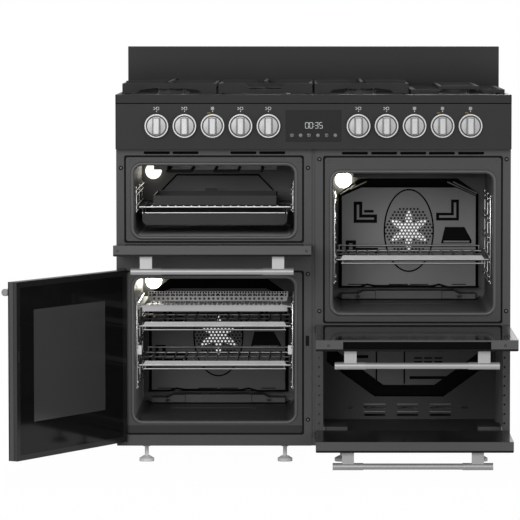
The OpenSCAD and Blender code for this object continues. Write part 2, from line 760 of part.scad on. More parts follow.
// Perforated cover in front of an oven fan, with pressed marks and an oval groove round the fan
module fan_cover(x, z0, h, rise) {
    w = oven_w / 2 - cover_inset;
    zc = z0 + h / 2 + rise;
    low = z0 + 36;
    top = z0 + h - 55;
    difference() {
        union() {
            upright(cover_y, cover_y + cover_t) polygon([
                [x - w, low], [x + w, low], [x + w, top - 23],
                [x + w - 51, top], [x - w + 51, top], [x - w, top - 23]
            ]);
            // folded edges that stand on the back wall
            for (s = [-1, 1]) slab(x + s * (w - 1) - 1, x + s * (w - 1) + 1, cover_y, oven_d, low, top - 26);
            // floors of the pressed marks
            upright(cover_y + press_t, cover_y + press_t + cover_t) translate([x, zc]) cover_marks(press_t);
        }
        upright(cover_y - 1, cover_y + press_t) translate([x, zc]) difference() {
            cover_marks(0);
            for (b = cover_ridges) bar_shape(b, 0);
        }
        for (c = cover_slots) slab(x + c[0], x + c[1], cover_y - 1, cover_y + 2, low + 4.5, low + 7);
        translate([x, cover_y, zc]) rotate([90, 0, 0]) grid_holes();
    }
}

// Holes on a triangular grid, kept inside the round fan field
module grid_holes() {
    n = ceil(field_r / cover_pitch * 1.2);
    for (i = [-n:n], j = [-n:n]) {
        px = cover_pitch * (i + j / 2);
        py = cover_pitch * j * sin(60);
        if (norm([px, py]) < field_r) translate([px, py, -4]) cylinder(h = 10, r = cover_hole / 2);
    }
}

module fan_covers() color(enamel) {
    fan_cover(-column_x, fan_z, fan_h, fan_rise[0]);
    fan_cover(column_x, main_z, main_h, fan_rise[1]);
}

// Radial fan on its shaft
module oven_fan(x, zc) color([0.6, 0.6, 0.6]) {
    y = oven_d - 26;
    translate([x, y, zc]) rotate([90, 0, 0]) {
        cylinder(h = 1.5, r = fan_dia / 2 - 12, $fn = 48);
        for (i = [0:11]) rotate([0, 0, i * 30]) translate([fan_dia / 2 - 34, -1, -14]) cube([32, 2, 15]);
        translate([0, 0, -34]) cylinder(h = 40, r = 4);
        cylinder(h = 6, r = 9);
    }
}

module fan_oven_fan() oven_fan(-column_x, fan_z + fan_h / 2 + fan_rise[0]);
module main_oven_fan() oven_fan(column_x, main_z + main_h / 2 + fan_rise[1]);

// Motors on the backs of the two fan ovens
module fan_motors() color([0.45, 0.45, 0.45]) {
    for (m = [[-column_x, fan_z + fan_h / 2 + fan_rise[0]], [column_x, main_z + main_h / 2 + fan_rise[1]]])
        translate([m[0], oven_d + wall_t, m[1]]) rotate([-90, 0, 0]) difference() {
            union() {
                cylinder(h = 3, r = 40);
                translate([-28, -24, 3]) cube([56, 48, 34]);
                cylinder(h = 42, r = 16);
            }
            translate([0, 0, -1]) cylinder(h = 22, r = 4 + fit_gap);
        }
}

// Grill element under the grill oven's roof, and a ring element round each fan
module heating_elements() color([0.2, 0.18, 0.17]) {
    z = grill_z + grill_h - 16;
    for (i = [0:4]) rod_y(-column_x - 120 + i * 60, 70, oven_d - rest_gap, z, 4);
    for (i = [0:3]) rod_x(-column_x - 120 + i * 60, -column_x - 60 + i * 60, i % 2 == 0 ? 70 : oven_d - 120, z, 4);
    for (x = [-column_x - 120, -column_x + 120]) rod_z(x, 120, z, grill_z + grill_h - rest_gap, 3);
    for (c = [[-column_x, fan_z + fan_h / 2 + fan_rise[0]], [column_x, main_z + main_h / 2 + fan_rise[1]]])
        translate([c[0], oven_d - 22, c[1]]) rotate([90, 0, 0]) {
            rotate_extrude($fn = 48) translate([fan_dia / 2 + 12, 0]) circle(4, $fn = 20);
            for (s = [-1, 1]) translate([s * 20, -fan_dia / 2 - 12, -21.7]) cylinder(h = 22, r = 4);
        }
}

// Wire ladder: three uprights against a side wall, and rungs in pairs on their inner side
module ladder(x_wall, side, z0, pairs, pitch) {
    r = ladder_wire / 2;
    y0 = 40;
    y1 = cover_y - 12;
    for (y = [y0 + 16, (y0 + y1) / 2, y1 - 16])
        rod_z(x_wall - side * post_inset, y, z0 - 6, z0 + (pairs - 1) * pitch + rung_pair + 6, post_r);
    for (i = [0:pairs - 1], k = [0, 1]) {
        z = z0 + i * pitch + k * rung_pair;
        rod_y(x_wall - side * rung_inset, y0, y1, z, r);
        translate([x_wall - side * rung_inset, y0, z]) sphere(r);
    }
}

module shelf_ladders() color(bright) {
    for (s = [-1, 1]) {
        ladder(-column_x + s * oven_w / 2, s, grill_ladder_z, 2, 40);
        ladder(-column_x + s * oven_w / 2, s, fan_ladder_z, 5, rung_pitch);
        ladder(column_x + s * oven_w / 2, s, main_ladder_z, 5, rung_pitch);
    }
}

// Storage compartment: floor, sides, roof and a back wall with an eight-sided recess
module storage_liner() color(enamel) {
    x0 = store_x0;
    x1 = store_x1;
    z0 = store_z;
    z1 = store_z + store_h;
    mid = (x0 + x1) / 2;
    back = store_d;
    difference() {
        union() {
            difference() {
                slab(x0 - sheet_t, x1 + sheet_t, 2 * sheet_t, back, z0 - sheet_t, z1 + sheet_t);
                slab(x0, x1, sheet_t, back - sheet_t, z0, z1);
            }
            // pan behind the back wall, seen through the recess
            upright(back - 1, back + 40) difference() {
                recess_outline(mid, 0, 2);
                recess_outline(mid, 0, 0);
            }
            upright(back + 38, back + 40) recess_outline(mid, 0, 2);
            // inner panel, held off the pan by two folded ribs
            upright(back + 20, back + 22) recess_outline(mid, 24, 0);
            for (rx = [mid - 86, mid - 12]) slab(rx - 2, rx + 2, back + 18, back + 39, z0 + 92, z1 - 26);
        }
        upright(back - 5, back + 1) recess_outline(mid, 0, 0);
        // louvres below the recess, in two rows
        for (i = [-1:1], k = [0, 1]) slab(mid - 4 + i * 87 - 28, mid - 4 + i * 87 + 28,
            back - 3, back + 1, z0 + 8 + k * 20, z0 + 14 + k * 20);
        for (e = [mid - 162, mid + 140]) slab(e, e + 14, back - 3, back + 1, z0 + 28, z0 + 33);
        // air slots of the inner panel
        for (i = [0:2], k = [0:2]) slab(mid + 14 + i * 27, mid + 35 + i * 27, back + 19, back + 23,
            z0 + 138 + k * 10, z0 + 142 + k * 10);
        slab(mid + 2, mid + 102, back + 19, back + 23, z0 + 104, z0 + 112);
        slab(mid - 172, mid - 108, back + 19, back + 23, z0 + 160, z0 + 168);
    }
    // hinge boxes at the front corners of the floor
    for (e = [[x0, x0 + 62], [x1 - 62, x1]]) slab(e[0], e[1], 30, 130, z0 - 1, z0 + 20);
}

// Outline of the recess, drawn in by some millimetres or let out
module recess_outline(mid, inset, grow) {
    w = store_w / 2 - 11 - inset + grow;
    low = store_z + 60 + inset * 1.2 - grow;
    high = store_z + store_h - 20 + grow;
    polygon([
        [mid - w, high], [mid - w, low + 92], [mid - w + 126, low],
        [mid + w - 126, low], [mid + w, low + 92], [mid + w, high]
    ]);
}

// Door seals round the openings, and the stops that the doors close against
module seals_and_stops() color(rubber) {
    for (o = [[left_x0, left_x1, grill_z, grill_h], [left_x0, left_x1, fan_z, fan_h],
              [right_x0, right_x1, main_z, main_h]])
        upright(-rim_reach, 0) difference() {
            round_rect(o[0] - rim_w, o[2] - rim_w, o[1] + rim_w, o[2] + o[3] + rim_w, corner_r + rim_w);
            round_rect(o[0] + 0.5, o[2] + 0.5, o[1] - 0.5, o[2] + o[3] - 0.5, corner_r);
        }
    stops = [
        [-488, 753.7], [-14.2, 753.7], [-14.2, 484], [-14.2, 113],
        [15, 775.7], [489, 775.7], [15, 390], [489, 390], [15, 300], [489, 300]
    ];
    for (s = stops) translate([s[0], 0, s[1]]) rotate([90, 0, 0]) {
        cylinder(h = rim_reach - 1.4, r = 5.3);
        cylinder(h = rim_reach, r = 2.6);
    }
}

// ---- hinges ----
// A bracket on the frame beside a door's lower corner, with the pin that the door turns on
module side_bracket(x_face, dir, z, clear, foot_y) {
    x_out = x_face + dir * clear;
    slab(min(x_out, x_out + dir * bracket_t), max(x_out, x_out + dir * bracket_t),
        pin_y - 7, foot_y, z - 7, z + 7);
    rod_x(dir > 0 ? x_face - pin_len : x_out - bracket_t, dir > 0 ? x_out + bracket_t : x_face + pin_len,
        pin_y, z, pin_dia / 2);
}

module hinge_brackets() color([0.4, 0.4, 0.4]) {
    side_bracket(grill_door_x[0], -1, grill_pin_z, side_clear, 0);
    side_bracket(grill_door_x[1], 1, grill_pin_z, gap_clear, 3 * sheet_t);
    side_bracket(main_door_x[0], -1, main_pin_z, gap_clear, 3 * sheet_t);
    side_bracket(main_door_x[1], 1, main_pin_z, side_clear, 0);
    side_bracket(flap_x[0], -1, flap_pin_z, gap_clear, 2 * sheet_t);
    side_bracket(flap_x[1], 1, flap_pin_z, side_clear, 0);
    // fan oven door: a plate above and a plate below, each with its pin
    top = fan_door_z + fan_door_h + side_clear;
    bottom = fan_door_z - side_clear;
    slab(fan_pin_x - 9, fan_pin_x + 12, pin_y - 7, 0, top, top + bracket_t);
    rod_z(fan_pin_x, pin_y, top - side_clear - pin_len, top + bracket_t, pin_dia / 2);
    slab(fan_pin_x - 9, fan_pin_x + 12, pin_y - 7, 0, bottom - bracket_t, bottom);
    rod_z(fan_pin_x, pin_y, bottom - bracket_t, fan_door_z + pin_len, pin_dia / 2);
}

// ---- doors ----
// Drop-down door, drawn closed: an outer tray, with a window when it has one
module door_tray(x, z0, z1, window) {
    difference() {
        union() {
            slab(x[0], x[1], door_out + 3, door_in, z0, z1);
            slab(x[0] + 3, x[1] - 3, door_out, door_in, z0, z1);
            for (side = [x[0] + 3, x[1] - 3]) rod_z(side, door_out + 3, z0, z1, 3);
        }
        slab(x[0] + 14, x[1] - 14, door_out + skin_t * 2, door_in + 1, z0 + 18, z1 - 12);
        if (window > 0) upright(door_out - 1, door_out + 6)
            round_rect(x[0] + window, z0 + window * 0.6, x[1] - window, z1 - window, 10);
    }
}

// Bores for a drop-down door's pins
module pin_bores(x, z) {
    rod_x(x[0] - 1, x[0] + pin_len + 1, pin_y, z, pin_dia / 2 + fit_gap);
    rod_x(x[1] - pin_len - 1, x[1] + 1, pin_y, z, pin_dia / 2 + fit_gap);
}

// Inner glass of a drop-down door in the tray's mouth
module tray_glass(x, z0, z1) {
    slab(x[0] + 14.5, x[1] - 14.5, door_in - glass_t, door_in, z0 + 18.5, z1 - 12.5);
    // outer pane behind the front skin
    slab(x[0] + 20, x[1] - 20, door_out + skin_t * 2, door_out + skin_t * 2 + glass_t, z0 + 24, z1 - 18);
    for (side = [x[0] + 20, x[1] - 28]) slab(side, side + 8, door_out + 6, door_in - glass_t, z0 + 24, z1 - 18);
}

// Handle across a door: bar, thicker sleeves at its ends and two posts, drawn closed
module handle(x0, x1, z, grip) color(bright) {
    y = door_out - standoff - bar_dia / 2;
    rod_x(x0 + sleeve_len, x1 - sleeve_len, y, z, bar_dia / 2);
    for (e = [[x0, x0 + sleeve_len], [x1 - sleeve_len, x1]]) rod_x(e[0], e[1], y, z, sleeve_dia / 2);
    for (px = [x0 + grip, x1 - grip])
        slab(px - bracket_w / 2, px + bracket_w / 2, y, door_out, z - bracket_h / 2, z + bracket_h / 2);
}

module grill_door() color(dark_steel) dropped(grill_pin_z, grill_open) difference() {
    door_tray(grill_door_x, grill_pin_z - pin_drop, grill_pin_z - pin_drop + grill_door_h, 0);
    pin_bores(grill_door_x, grill_pin_z);
}

module grill_door_glass() color([0.05, 0.05, 0.06]) dropped(grill_pin_z, grill_open)
    tray_glass(grill_door_x, grill_pin_z - pin_drop, grill_pin_z - pin_drop + grill_door_h);

module grill_door_handle() dropped(grill_pin_z, grill_open)
    handle(grill_door_x[0] + grip_inset, grill_door_x[1] - grip_inset - 2,
        grill_pin_z - pin_drop + grill_door_h - handle_drop, 38);

module main_door() color(dark_steel) dropped(main_pin_z, main_open) difference() {
    door_tray(main_door_x, main_pin_z - pin_drop, main_pin_z - pin_drop + main_door_h, 0);
    pin_bores(main_door_x, main_pin_z);
    // air slot in the door's top edge
    z = main_pin_z - pin_drop + main_door_h;
    slab(main_door_x[0] + 66, main_door_x[1] - 66, door_out + 5, door_in - 4, z - 9, z + 1);
}

module main_door_glass() color([0.05, 0.05, 0.06]) dropped(main_pin_z, main_open)
    tray_glass(main_door_x, main_pin_z - pin_drop, main_pin_z - pin_drop + main_door_h);

module main_door_handle() dropped(main_pin_z, main_open)
    handle(main_door_x[0] + grip_inset + 4, main_door_x[1] - grip_inset - 2,
        main_pin_z - pin_drop + main_door_h - handle_drop, 38);

module storage_flap() color(dark_steel) dropped(flap_pin_z, flap_open) difference() {
    z0 = flap_pin_z - pin_drop;
    union() {
        difference() {
            union() {
                slab(flap_x[0], flap_x[1], door_out + 3, door_in, z0, z0 + flap_h);
                slab(flap_x[0] + 3, flap_x[1] - 3, door_out, door_in, z0, z0 + flap_h);
                for (side = [flap_x[0] + 3, flap_x[1] - 3]) rod_z(side, door_out + 3, z0, z0 + flap_h, 3);
            }
            slab(flap_x[0] + 14, flap_x[1] - 14, door_out + skin_t * 2, door_in - skin_t, z0 + 18, z0 + flap_h - 6);
        }
    }
    pin_bores(flap_x, flap_pin_z);
}

module storage_handle() dropped(flap_pin_z, flap_open)
    handle(flap_x[0] + grip_inset, flap_x[1] - grip_inset - 8, flap_pin_z - pin_drop + flap_h - handle_drop, 38);

// Side-hung door of the fan oven, drawn closed
module fan_door() color(dark_steel) swung(fan_open) {
    x0 = fan_pin_x - hang_x;
    x1 = x0 + fan_door_w;
    z1 = fan_door_z + fan_door_h;
    difference() {
        union() {
            slab(x0, x1, door_out + 3, door_in, fan_door_z, z1);
            slab(x0 + 3, x1 - 3, door_out, door_in, fan_door_z, z1);
            for (side = [x0 + 3, x1 - 3]) rod_z(side, door_out + 3, fan_door_z, z1, 3);
        }
        slab(x0 + 18, x1 - 14, door_out + skin_t * 2, door_in + 1, fan_door_z + 14, z1 - 14);
        rod_z(fan_pin_x, pin_y, fan_door_z - 1, fan_door_z + pin_len + 1, pin_dia / 2 + fit_gap);
        rod_z(fan_pin_x, pin_y, z1 - pin_len - 1, z1 + 1, pin_dia / 2 + fit_gap);
        slab(x1 - 11, x1 - 4, door_in - 8, door_in + 1, latch_z, latch_z + latch_h);
    }
}

module fan_door_glass() color([0.05, 0.05, 0.06]) swung(fan_open) {
    x0 = fan_pin_x - hang_x + 18.5;
    x1 = fan_pin_x - hang_x + fan_door_w - 14.5;
    z0 = fan_door_z + 14.5;
    z1 = fan_door_z + fan_door_h - 14.5;
    slab(x0, x1, door_in - glass_t, door_in, z0, z1);
    slab(x0 + 4, x1 - 4, door_out + skin_t * 2, door_out + skin_t * 2 + glass_t, z0 + 4, z1 - 4);
    for (side = [x0 + 4, x1 - 12]) slab(side, side + 8, door_out + 6, door_in - glass_t, z0 + 4, z1 - 4);
}

module fan_door_handle() swung(fan_open)
    handle(fan_pin_x - hang_x + grip_inset, fan_pin_x - hang_x + fan_door_w - grip_inset,
        fan_door_z + fan_door_h - handle_drop, 38);

// ---- shelves and pans ----
shelf_half = oven_w / 2 - rail_inset + frame_wire / 2;

// Wire shelf: side rails that run between the rungs, cross wires, long wires and an upstand at the back
module wire_shelf(x, z) {
    r = frame_wire / 2;
    t = thin_wire / 2;
    post = t * 0.85;
    y0 = shelf_front;
    y1 = shelf_front + shelf_d;
    w = shelf_half - r;
    for (s = [-1, 1]) {
        rod_y(x + s * w, y0, y1, z, r);
        for (y = [y0, y1]) translate([x + s * w, y, z]) sphere(r + 0.2);
        rod_z(x + s * (w - 9), y1, z, z + 14, post);
        rod_z(x + s * (w - 16), y0, z - 9.5, z, post);
    }
    for (y = [y0, y1]) rod_x(x - w, x + w, y, z, r * 0.95);
    rod_x(x - w + 7, x + w - 7, y1, z + 14, t);
    rod_x(x - w + 12, x + w - 12, y0, z - 9.5, t);
    for (y = [y0 + 120, y0 + 250]) rod_x(x - w, x + w, y, z - t, t);
    n = 13;
    for (i = [1:n]) rod_y(x - w + i * 2 * w / (n + 1), y0, y1, z + t * 0.4, t);
}

// Front strip of a shelf
module shelf_strip(x, z) {
    w = shelf_half - 12;
    y = shelf_front - frame_wire / 2 + 0.5;
    upright(y, y + sheet_t) polygon([[x - w, z - 1], [x + w, z - 1], [x + w - 8, z + 11], [x - w + 8, z + 11]]);
}

fan_ladder_z = fan_z + 82;
main_ladder_z = main_z + 75.5;
grill_ladder_z = grill_z + 64;

// Width of the roasting tray on the grill rack
tray_w = 314;

// Height of a shelf that lies on the lower wire of a rung pair
function on_rung(z, i) = z + i * rung_pitch + ladder_wire / 2 + frame_wire / 2 + rest_gap;

module oven_shelf(x, z) color(bright) {
    wire_shelf(x, z);
    shelf_strip(x, z);
}

module upper_shelf() oven_shelf(-column_x, on_rung(fan_ladder_z, 3));
module lower_shelf() oven_shelf(-column_x, on_rung(fan_ladder_z, 1));
module main_shelf() oven_shelf(column_x, on_rung(main_ladder_z, 1));

// Shallow basket with a slotted floor and back, carried on the top rungs by its rims
module mesh_basket() color(bright) {
    z = fan_ladder_z + 4 * rung_pitch + ladder_wire / 2 + rest_gap;
    x = -column_x;
    w = shelf_half - 12;
    y0 = basket_y[0];
    y1 = basket_y[1];
    difference() {
        union() {
            slab(x - w, x + w, y0, y1, z - 10, z + 4);
            slab(x - shelf_half, x + shelf_half, y0, y1, z, z + 4);
            slab(x - w, x + w, y1 - sheet_t, y1, z - 10, z + 17);
        }
        slab(x - w + sheet_t, x + w - sheet_t, y0 + sheet_t, y1 - sheet_t, z - 10 + sheet_t, z + 5);
        for (i = [-14:14], y = [y0 + 30:52:y1 - 50]) slab(x + i * 12 - 3, x + i * 12 + 3, y, y + 36, z - 11, z - 7);
        for (i = [-14:14]) slab(x + i * 12 - 3, x + i * 12 + 3, y1 - 3, y1 + 1, z - 5, z + 1);
        for (i = [-14:14]) slab(x + i * 12 - 3, x + i * 12 + 3, y1 - 3, y1 + 1, z + 5, z + 11);
    }
    rod_x(x - w, x + w, y0 + 1.5, z + 5, 2);
}

// Grill set: a pan hung by its rims on the rungs, a wire rack on it, and a roasting tray on the rack
module grill_pan() color(cast_iron) {
    z = grill_ladder_z + ladder_wire / 2 + rest_gap;
    x = -column_x;
    t = thin_wire / 2;
    w = shelf_half - 12;
    y0 = pan_y[0];
    y1 = pan_y[1];
    difference() {
        upright(y0, y1) round_rect(x - w, z - 42, x + w, z + 30, 14);
        upright(y0 + sheet_t, y1 - sheet_t) round_rect(x - w + sheet_t, z - 40, x + w - sheet_t, z + 60, 12);
        slab(x - w + sheet_t, x + w - sheet_t, y0 - 1, y1 + 1, z - 14, z + 31);
        slab(x - w - 1, x + w + 1, y0 - 1, y1 + 1, z + 2, z + 31);
    }
    for (s = [-1, 1]) slab(x + s * (w + 5) - 7.7, x + s * (w + 5) + 7.7, y0, y1, z, z + 2);
    rack_z = z + 2 + t;
    for (y = [y0 + 3, (y0 + y1) / 2, y1 - 3]) rod_x(x - w - 8, x + w + 8, y, rack_z - 0.5, t);
    for (i = [-8:8]) rod_y(x + i * 20, y0 + 3, y1 - 3, rack_z + t * 0.6, t);
    // second front wire of the rack, below the first
    rod_x(x - w + 6, x + w - 6, y0 + 3, z - 11.5, 1.5);
    for (s = [-1, 1]) rod_z(x + s * (w - 8), y0 + 3, z - 11.5, rack_z, 1.3);
    tray_z = rack_z + 1.6 * t + rest_gap;
    difference() {
        slab(x - tray_w / 2, x + tray_w / 2, y0 + 20, y1 - 46, tray_z, tray_z + 24);
        slab(x - tray_w / 2 + sheet_t, x + tray_w / 2 - sheet_t, y0 + 22, y1 - 48, tray_z + 2, tray_z + 28);
    }
    slab(x - 32, x, y1 - 48, y1 - 44, tray_z + 16, tray_z + 31);
}

base_frame();
side_panels();
rear_panel();
front_frames();
hob_top();
splashback();
control_panel();
clock_display();
levelling_feet();
grill_oven_liner();
fan_oven_liner();
main_oven_liner();
storage_liner();
seals_and_stops();
fan_covers();
shelf_ladders();
oven_lamps();
heating_elements();
fan_motors();
gas_manifold();
burners();
hinge_brackets();
fan_oven_fan();
main_oven_fan();
pan_support_1();
pan_support_2();
pan_support_3();
pan_support_4();
knob_1();
knob_2();
knob_3();
knob_4();
knob_5();
knob_6();
knob_7();
knob_8();
knob_9();
knob_10();
tap_spindle_1();
tap_spindle_2();
tap_spindle_4();
tap_spindle_5();
tap_spindle_6();
tap_spindle_7();
grill_door();
grill_door_glass();
grill_door_handle();
fan_door();
fan_door_glass();
fan_door_handle();
main_door();
main_door_glass();
main_door_handle();
storage_flap();
storage_handle();
grill_pan();
mesh_basket();
upper_shelf();
lower_shelf();
main_shelf();
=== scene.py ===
import math

import bmesh
import bpy
from mathutils import Matrix, Vector


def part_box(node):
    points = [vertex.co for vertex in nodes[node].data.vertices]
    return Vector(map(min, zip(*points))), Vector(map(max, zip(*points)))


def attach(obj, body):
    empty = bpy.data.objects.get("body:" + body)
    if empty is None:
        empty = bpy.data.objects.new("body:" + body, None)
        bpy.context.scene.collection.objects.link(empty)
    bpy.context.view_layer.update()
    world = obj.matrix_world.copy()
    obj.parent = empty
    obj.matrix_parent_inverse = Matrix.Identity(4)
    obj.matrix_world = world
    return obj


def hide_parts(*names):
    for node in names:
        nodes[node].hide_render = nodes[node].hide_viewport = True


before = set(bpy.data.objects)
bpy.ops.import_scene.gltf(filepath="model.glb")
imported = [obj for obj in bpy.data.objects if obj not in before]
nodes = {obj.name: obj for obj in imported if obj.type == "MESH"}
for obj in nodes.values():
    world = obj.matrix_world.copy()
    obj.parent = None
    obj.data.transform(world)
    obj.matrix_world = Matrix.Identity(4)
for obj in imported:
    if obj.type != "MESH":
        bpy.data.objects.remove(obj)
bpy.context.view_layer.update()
scene = bpy.context.scene
scene.view_settings.view_transform = "Standard"
mm = 0.001
print("frame loaded:", len(nodes), "nodes")


class Sock:  # a socket that takes Python arithmetic
    def __init__(self, finish, out):
        self.finish = finish
        self.out = out

    def calc(self, operation, a, b=None):
        values = {0: a} if b is None else {0: a, 1: b}
        return self.finish.node("Math", {"operation": operation}, values)

    def __add__(self, other):
        return self.calc("ADD", self, other)

    def __radd__(self, other):
        return self.calc("ADD", other, self)

    def __sub__(self, other):
        return self.calc("SUBTRACT", self, other)

    def __rsub__(self, other):
        return self.calc("SUBTRACT", other, self)

    def __mul__(self, other):
        return self.calc("MULTIPLY", self, other)

    def __rmul__(self, other):
        return self.calc("MULTIPLY", other, self)

    def __truediv__(self, other):
        return self.calc("DIVIDE", self, other)

    def __rtruediv__(self, other):
        return self.calc("DIVIDE", other, self)

    def __gt__(self, other):
        return self.calc("GREATER_THAN", self, other)

    def __lt__(self, other):
        return self.calc("LESS_THAN", self, other)

    def absolute(self):
        return self.calc("ABSOLUTE", self)

    def root(self):
        return self.calc("SQRT", self)

    def fraction(self):
        return self.calc("FRACT", self)

    def between(self, low, high):  # 1 inside, 0 outside
        return (self > low) * (self < high)

    def spread(self, width):  # a noise centred on 0
        return (self - 0.5) * width

    def clamped(self):  # held between 0 and 1
        self.out.node.use_clamp = True
        return self


patterns = {  # scale and detail of each noise
    "cloud": (9.0, 3.0), "grain": (1600.0, 2.0), "peel": (420.0, 1.0),  # paint
    "firing": (14.0, 2.0), "wave": (60.0, 2.0),  # enamel
    "drawing": (700.0, 3.0), "plating": (25.0, 1.0),  # wire
    "streak": (1.0, 4.0), "sheen": (30.0, 2.0),  # brushed metal
    "lumps": (240.0, 4.0), "casting": (18.0, 2.0),  # cast iron
    "grit": (900.0, 3.0), "softGrit": (500.0, 3.0), "glassGrit": (300.0, 3.0), "patch": (20.0, 2.0),
    "sheet": (200.0, 2.0), "glow": (60.0, 1.0),
}
socketNames = {
    "BaseColor": "Base Color", "EmissionColor": "Emission Color", "EmissionStrength": "Emission Strength",
    "SpecularLevel": "Specular IOR Level",
}


def grey(value):
    return (value, value, value, 1.0)


def mottle(wide, fine):  # mostly the wide pattern
    return wide * 0.7 + fine * 0.3


class Finish:  # a material, or the world, with its node tree
    def __init__(self, name, owner=None, shader="Principled BSDF"):
        self.material = owner or bpy.data.materials.new(name)
        self.material.use_nodes = True
        self.tree = self.material.node_tree
        self.shader = self.tree.nodes[shader]

    def plug(self, socket, value):
        if isinstance(value, Sock):
            self.tree.links.new(value.out, socket)
        else:
            socket.default_value = value

    def node(self, kind, settings, sockets, out=0):
        made = self.tree.nodes.new("ShaderNode" + kind)
        for key, value in settings.items():
            setattr(made, key, value)
        for key, value in sockets.items():
            self.plug(made.inputs[key], value)
        return Sock(self, made.outputs[out])

    def place(self):
        return self.node("TexCoord", {}, {}, "Object")

    def stretched(self, scale):  # object coordinates squeezed per axis
        return self.node("Mapping", {}, {"Vector": self.place(), "Scale": scale})

    def axes(self):  # the three object coordinates as numbers, in metres
        outs = self.node("SeparateXYZ", {}, {"Vector": self.place()}).out.node.outputs
        return [Sock(self, outs[i]) for i in range(3)]

    def noise(self, kind, where=None, rough=0.5):
        scale, detail = patterns[kind]
        sockets = {"Vector": where or self.place(), "Scale": scale, "Detail": detail, "Roughness": rough}
        return self.node("TexNoise", {}, sockets)

    def mix(self, share, a, b):  # colours by a share from 0 to 1
        return self.node("Mix", {"data_type": "RGBA"}, {0: share, 6: a, 7: b}, 2)

    def greys(self, share, tones):  # two greys by a share
        return self.mix(share, grey(tones[0]), grey(tones[1]))

    def bump(self, height, strength, distance):
        return self.node("Bump", {}, {"Height": height, "Strength": strength, "Distance": distance})

    def peeled(self):  # the fine orange peel of sprayed paint
        return self.bump(self.noise("peel"), 0.05, 0.0004)

    def waved(self, strength):  # the slow wave of fired enamel
        return self.bump(self.noise("wave"), strength, 0.0008)

    def give(self, **sockets):  # BaseColor=..., Roughness=... on the shader
        for key, value in sockets.items():
            self.plug(self.shader.inputs[socketNames.get(key, key)], value)
        return self.material

    def seenDirectly(self):  # 1 for what the camera, a reflection or a pane sees
        seen = self.node("LightPath", {}, {}, "Is Camera Ray")
        rays = seen.out.node.outputs
        for kind in ("Is Glossy Ray", "Is Transmission Ray"):
            seen = seen.calc("MAXIMUM", seen, Sock(self, rays[kind]))
        return seen

    def giveWay(self, share, other, end):  # to another shader, by a share
        own = Sock(self, self.shader.outputs[0])
        blend = self.node("MixShader", {}, {0: share, 1: own, 2: other})
        self.plug(self.tree.nodes[end].inputs[0], blend)


def makePaint(name, tones, rough, specular):  # satin charcoal paint
    f = Finish(name)
    cloud, grain = f.noise("cloud"), f.noise("grain")
    relief = f.noise("peel") * 0.6 + grain * 0.4
    return f.give(BaseColor=f.greys(mottle(cloud, grain), tones),
                  Roughness=rough + grain.spread(0.10) + cloud.spread(0.06),
                  SpecularLevel=specular, Normal=f.bump(relief, 0.05, 0.0004))


def makeBrushed(name, tone, rough, metallic, stretch):  # brushed metal, lines along one axis
    f = Finish(name)
    lines = f.noise("streak", f.stretched(stretch))
    colour = f.greys(mottle(lines, f.noise("sheen")), (tone * 0.86, tone * 1.1))
    return f.give(BaseColor=colour, Metallic=metallic, Roughness=rough + lines.spread(0.12),
                  Normal=f.bump(lines, 0.05, 0.0003))


def makeWire(name, tone, rough):  # plated wire with slight drawing marks
    f = Finish(name)
    marks = f.noise("drawing")
    return f.give(BaseColor=f.greys(f.noise("plating"), (tone * 0.88, tone)), Metallic=1.0,
                  Roughness=rough + marks.spread(0.08), Normal=f.bump(marks, 0.03, 0.0002))


def makeIron(name, tone, rough):  # matt enamelled casting
    f = Finish(name)
    lumps = f.noise("lumps", rough=0.6)
    return f.give(BaseColor=f.greys(f.noise("casting"), (tone * 0.8, tone * 1.25)),
                  Roughness=rough + lumps.spread(0.2), SpecularLevel=0.03, Normal=f.bump(lumps, 0.22, 0.0006))


def makeZinc(name, tones, spangleScale):  # zinc-plated sheet with its spangle
    f = Finish(name)
    spangle = f.node("TexVoronoi", {}, {"Vector": f.place(), "Scale": spangleScale}, "Color")
    shade = f.node("SeparateColor", {}, {"Color": spangle})
    return f.give(BaseColor=f.greys(shade, tones), Metallic=0.9, Roughness=shade * 0.12 + 0.36,
                  Normal=f.bump(f.noise("sheet"), 0.04, 0.0003))


def makePlain(name, colour, rough, metallic=0.0, specular=0.5, grit="grit", depth=0.08):  # moulded or cast
    f = Finish(name)
    fine = f.noise(grit)
    darker = tuple(c * 0.82 for c in colour[:3]) + (1.0,)
    return f.give(BaseColor=f.mix(mottle(f.noise("patch"), fine), darker, colour), Metallic=metallic,
                  Roughness=rough + fine.spread(0.1), SpecularLevel=specular,
                  Normal=f.bump(fine, depth, 0.0003))


def makeGlow(name, colour, strength):  # lit glass, and painted light where no lamp is: the glowing print and fan arms
    f = Finish(name)
    dimmer = tuple(c * 0.92 for c in colour[:3]) + (1.0,)
    return f.give(BaseColor=colour, Roughness=0.2, EmissionColor=f.mix(f.noise("glow"), dimmer, colour),
                  EmissionStrength=strength)


# In the dictionaries below, tones are albedos, and places are in metres.

# painted shade: the groove tone is the black inside the grooves and vents
framePaintSpec = {"tones": (0.046, 0.054), "rough": 0.46, "grooveDepth": 0.0017, "groove": 0.0025}


def makeFramePaint(name):  # frame paint, with painted shade: black inside the grooves and vents
    f, spec = Finish(name), framePaintSpec
    x, y, z = f.axes()
    grain = f.noise("grain")
    # painted shade: the deep faces of the grooves and vents are black
    deep = y > spec["grooveDepth"]
    sheet = f.greys(mottle(f.noise("cloud"), grain), spec["tones"])
    return f.give(BaseColor=f.mix(deep, sheet, grey(spec["groove"])),
                  Roughness=deep * 0.4 + spec["rough"] + grain.spread(0.1), SpecularLevel=0.2,
                  Normal=f.peeled())


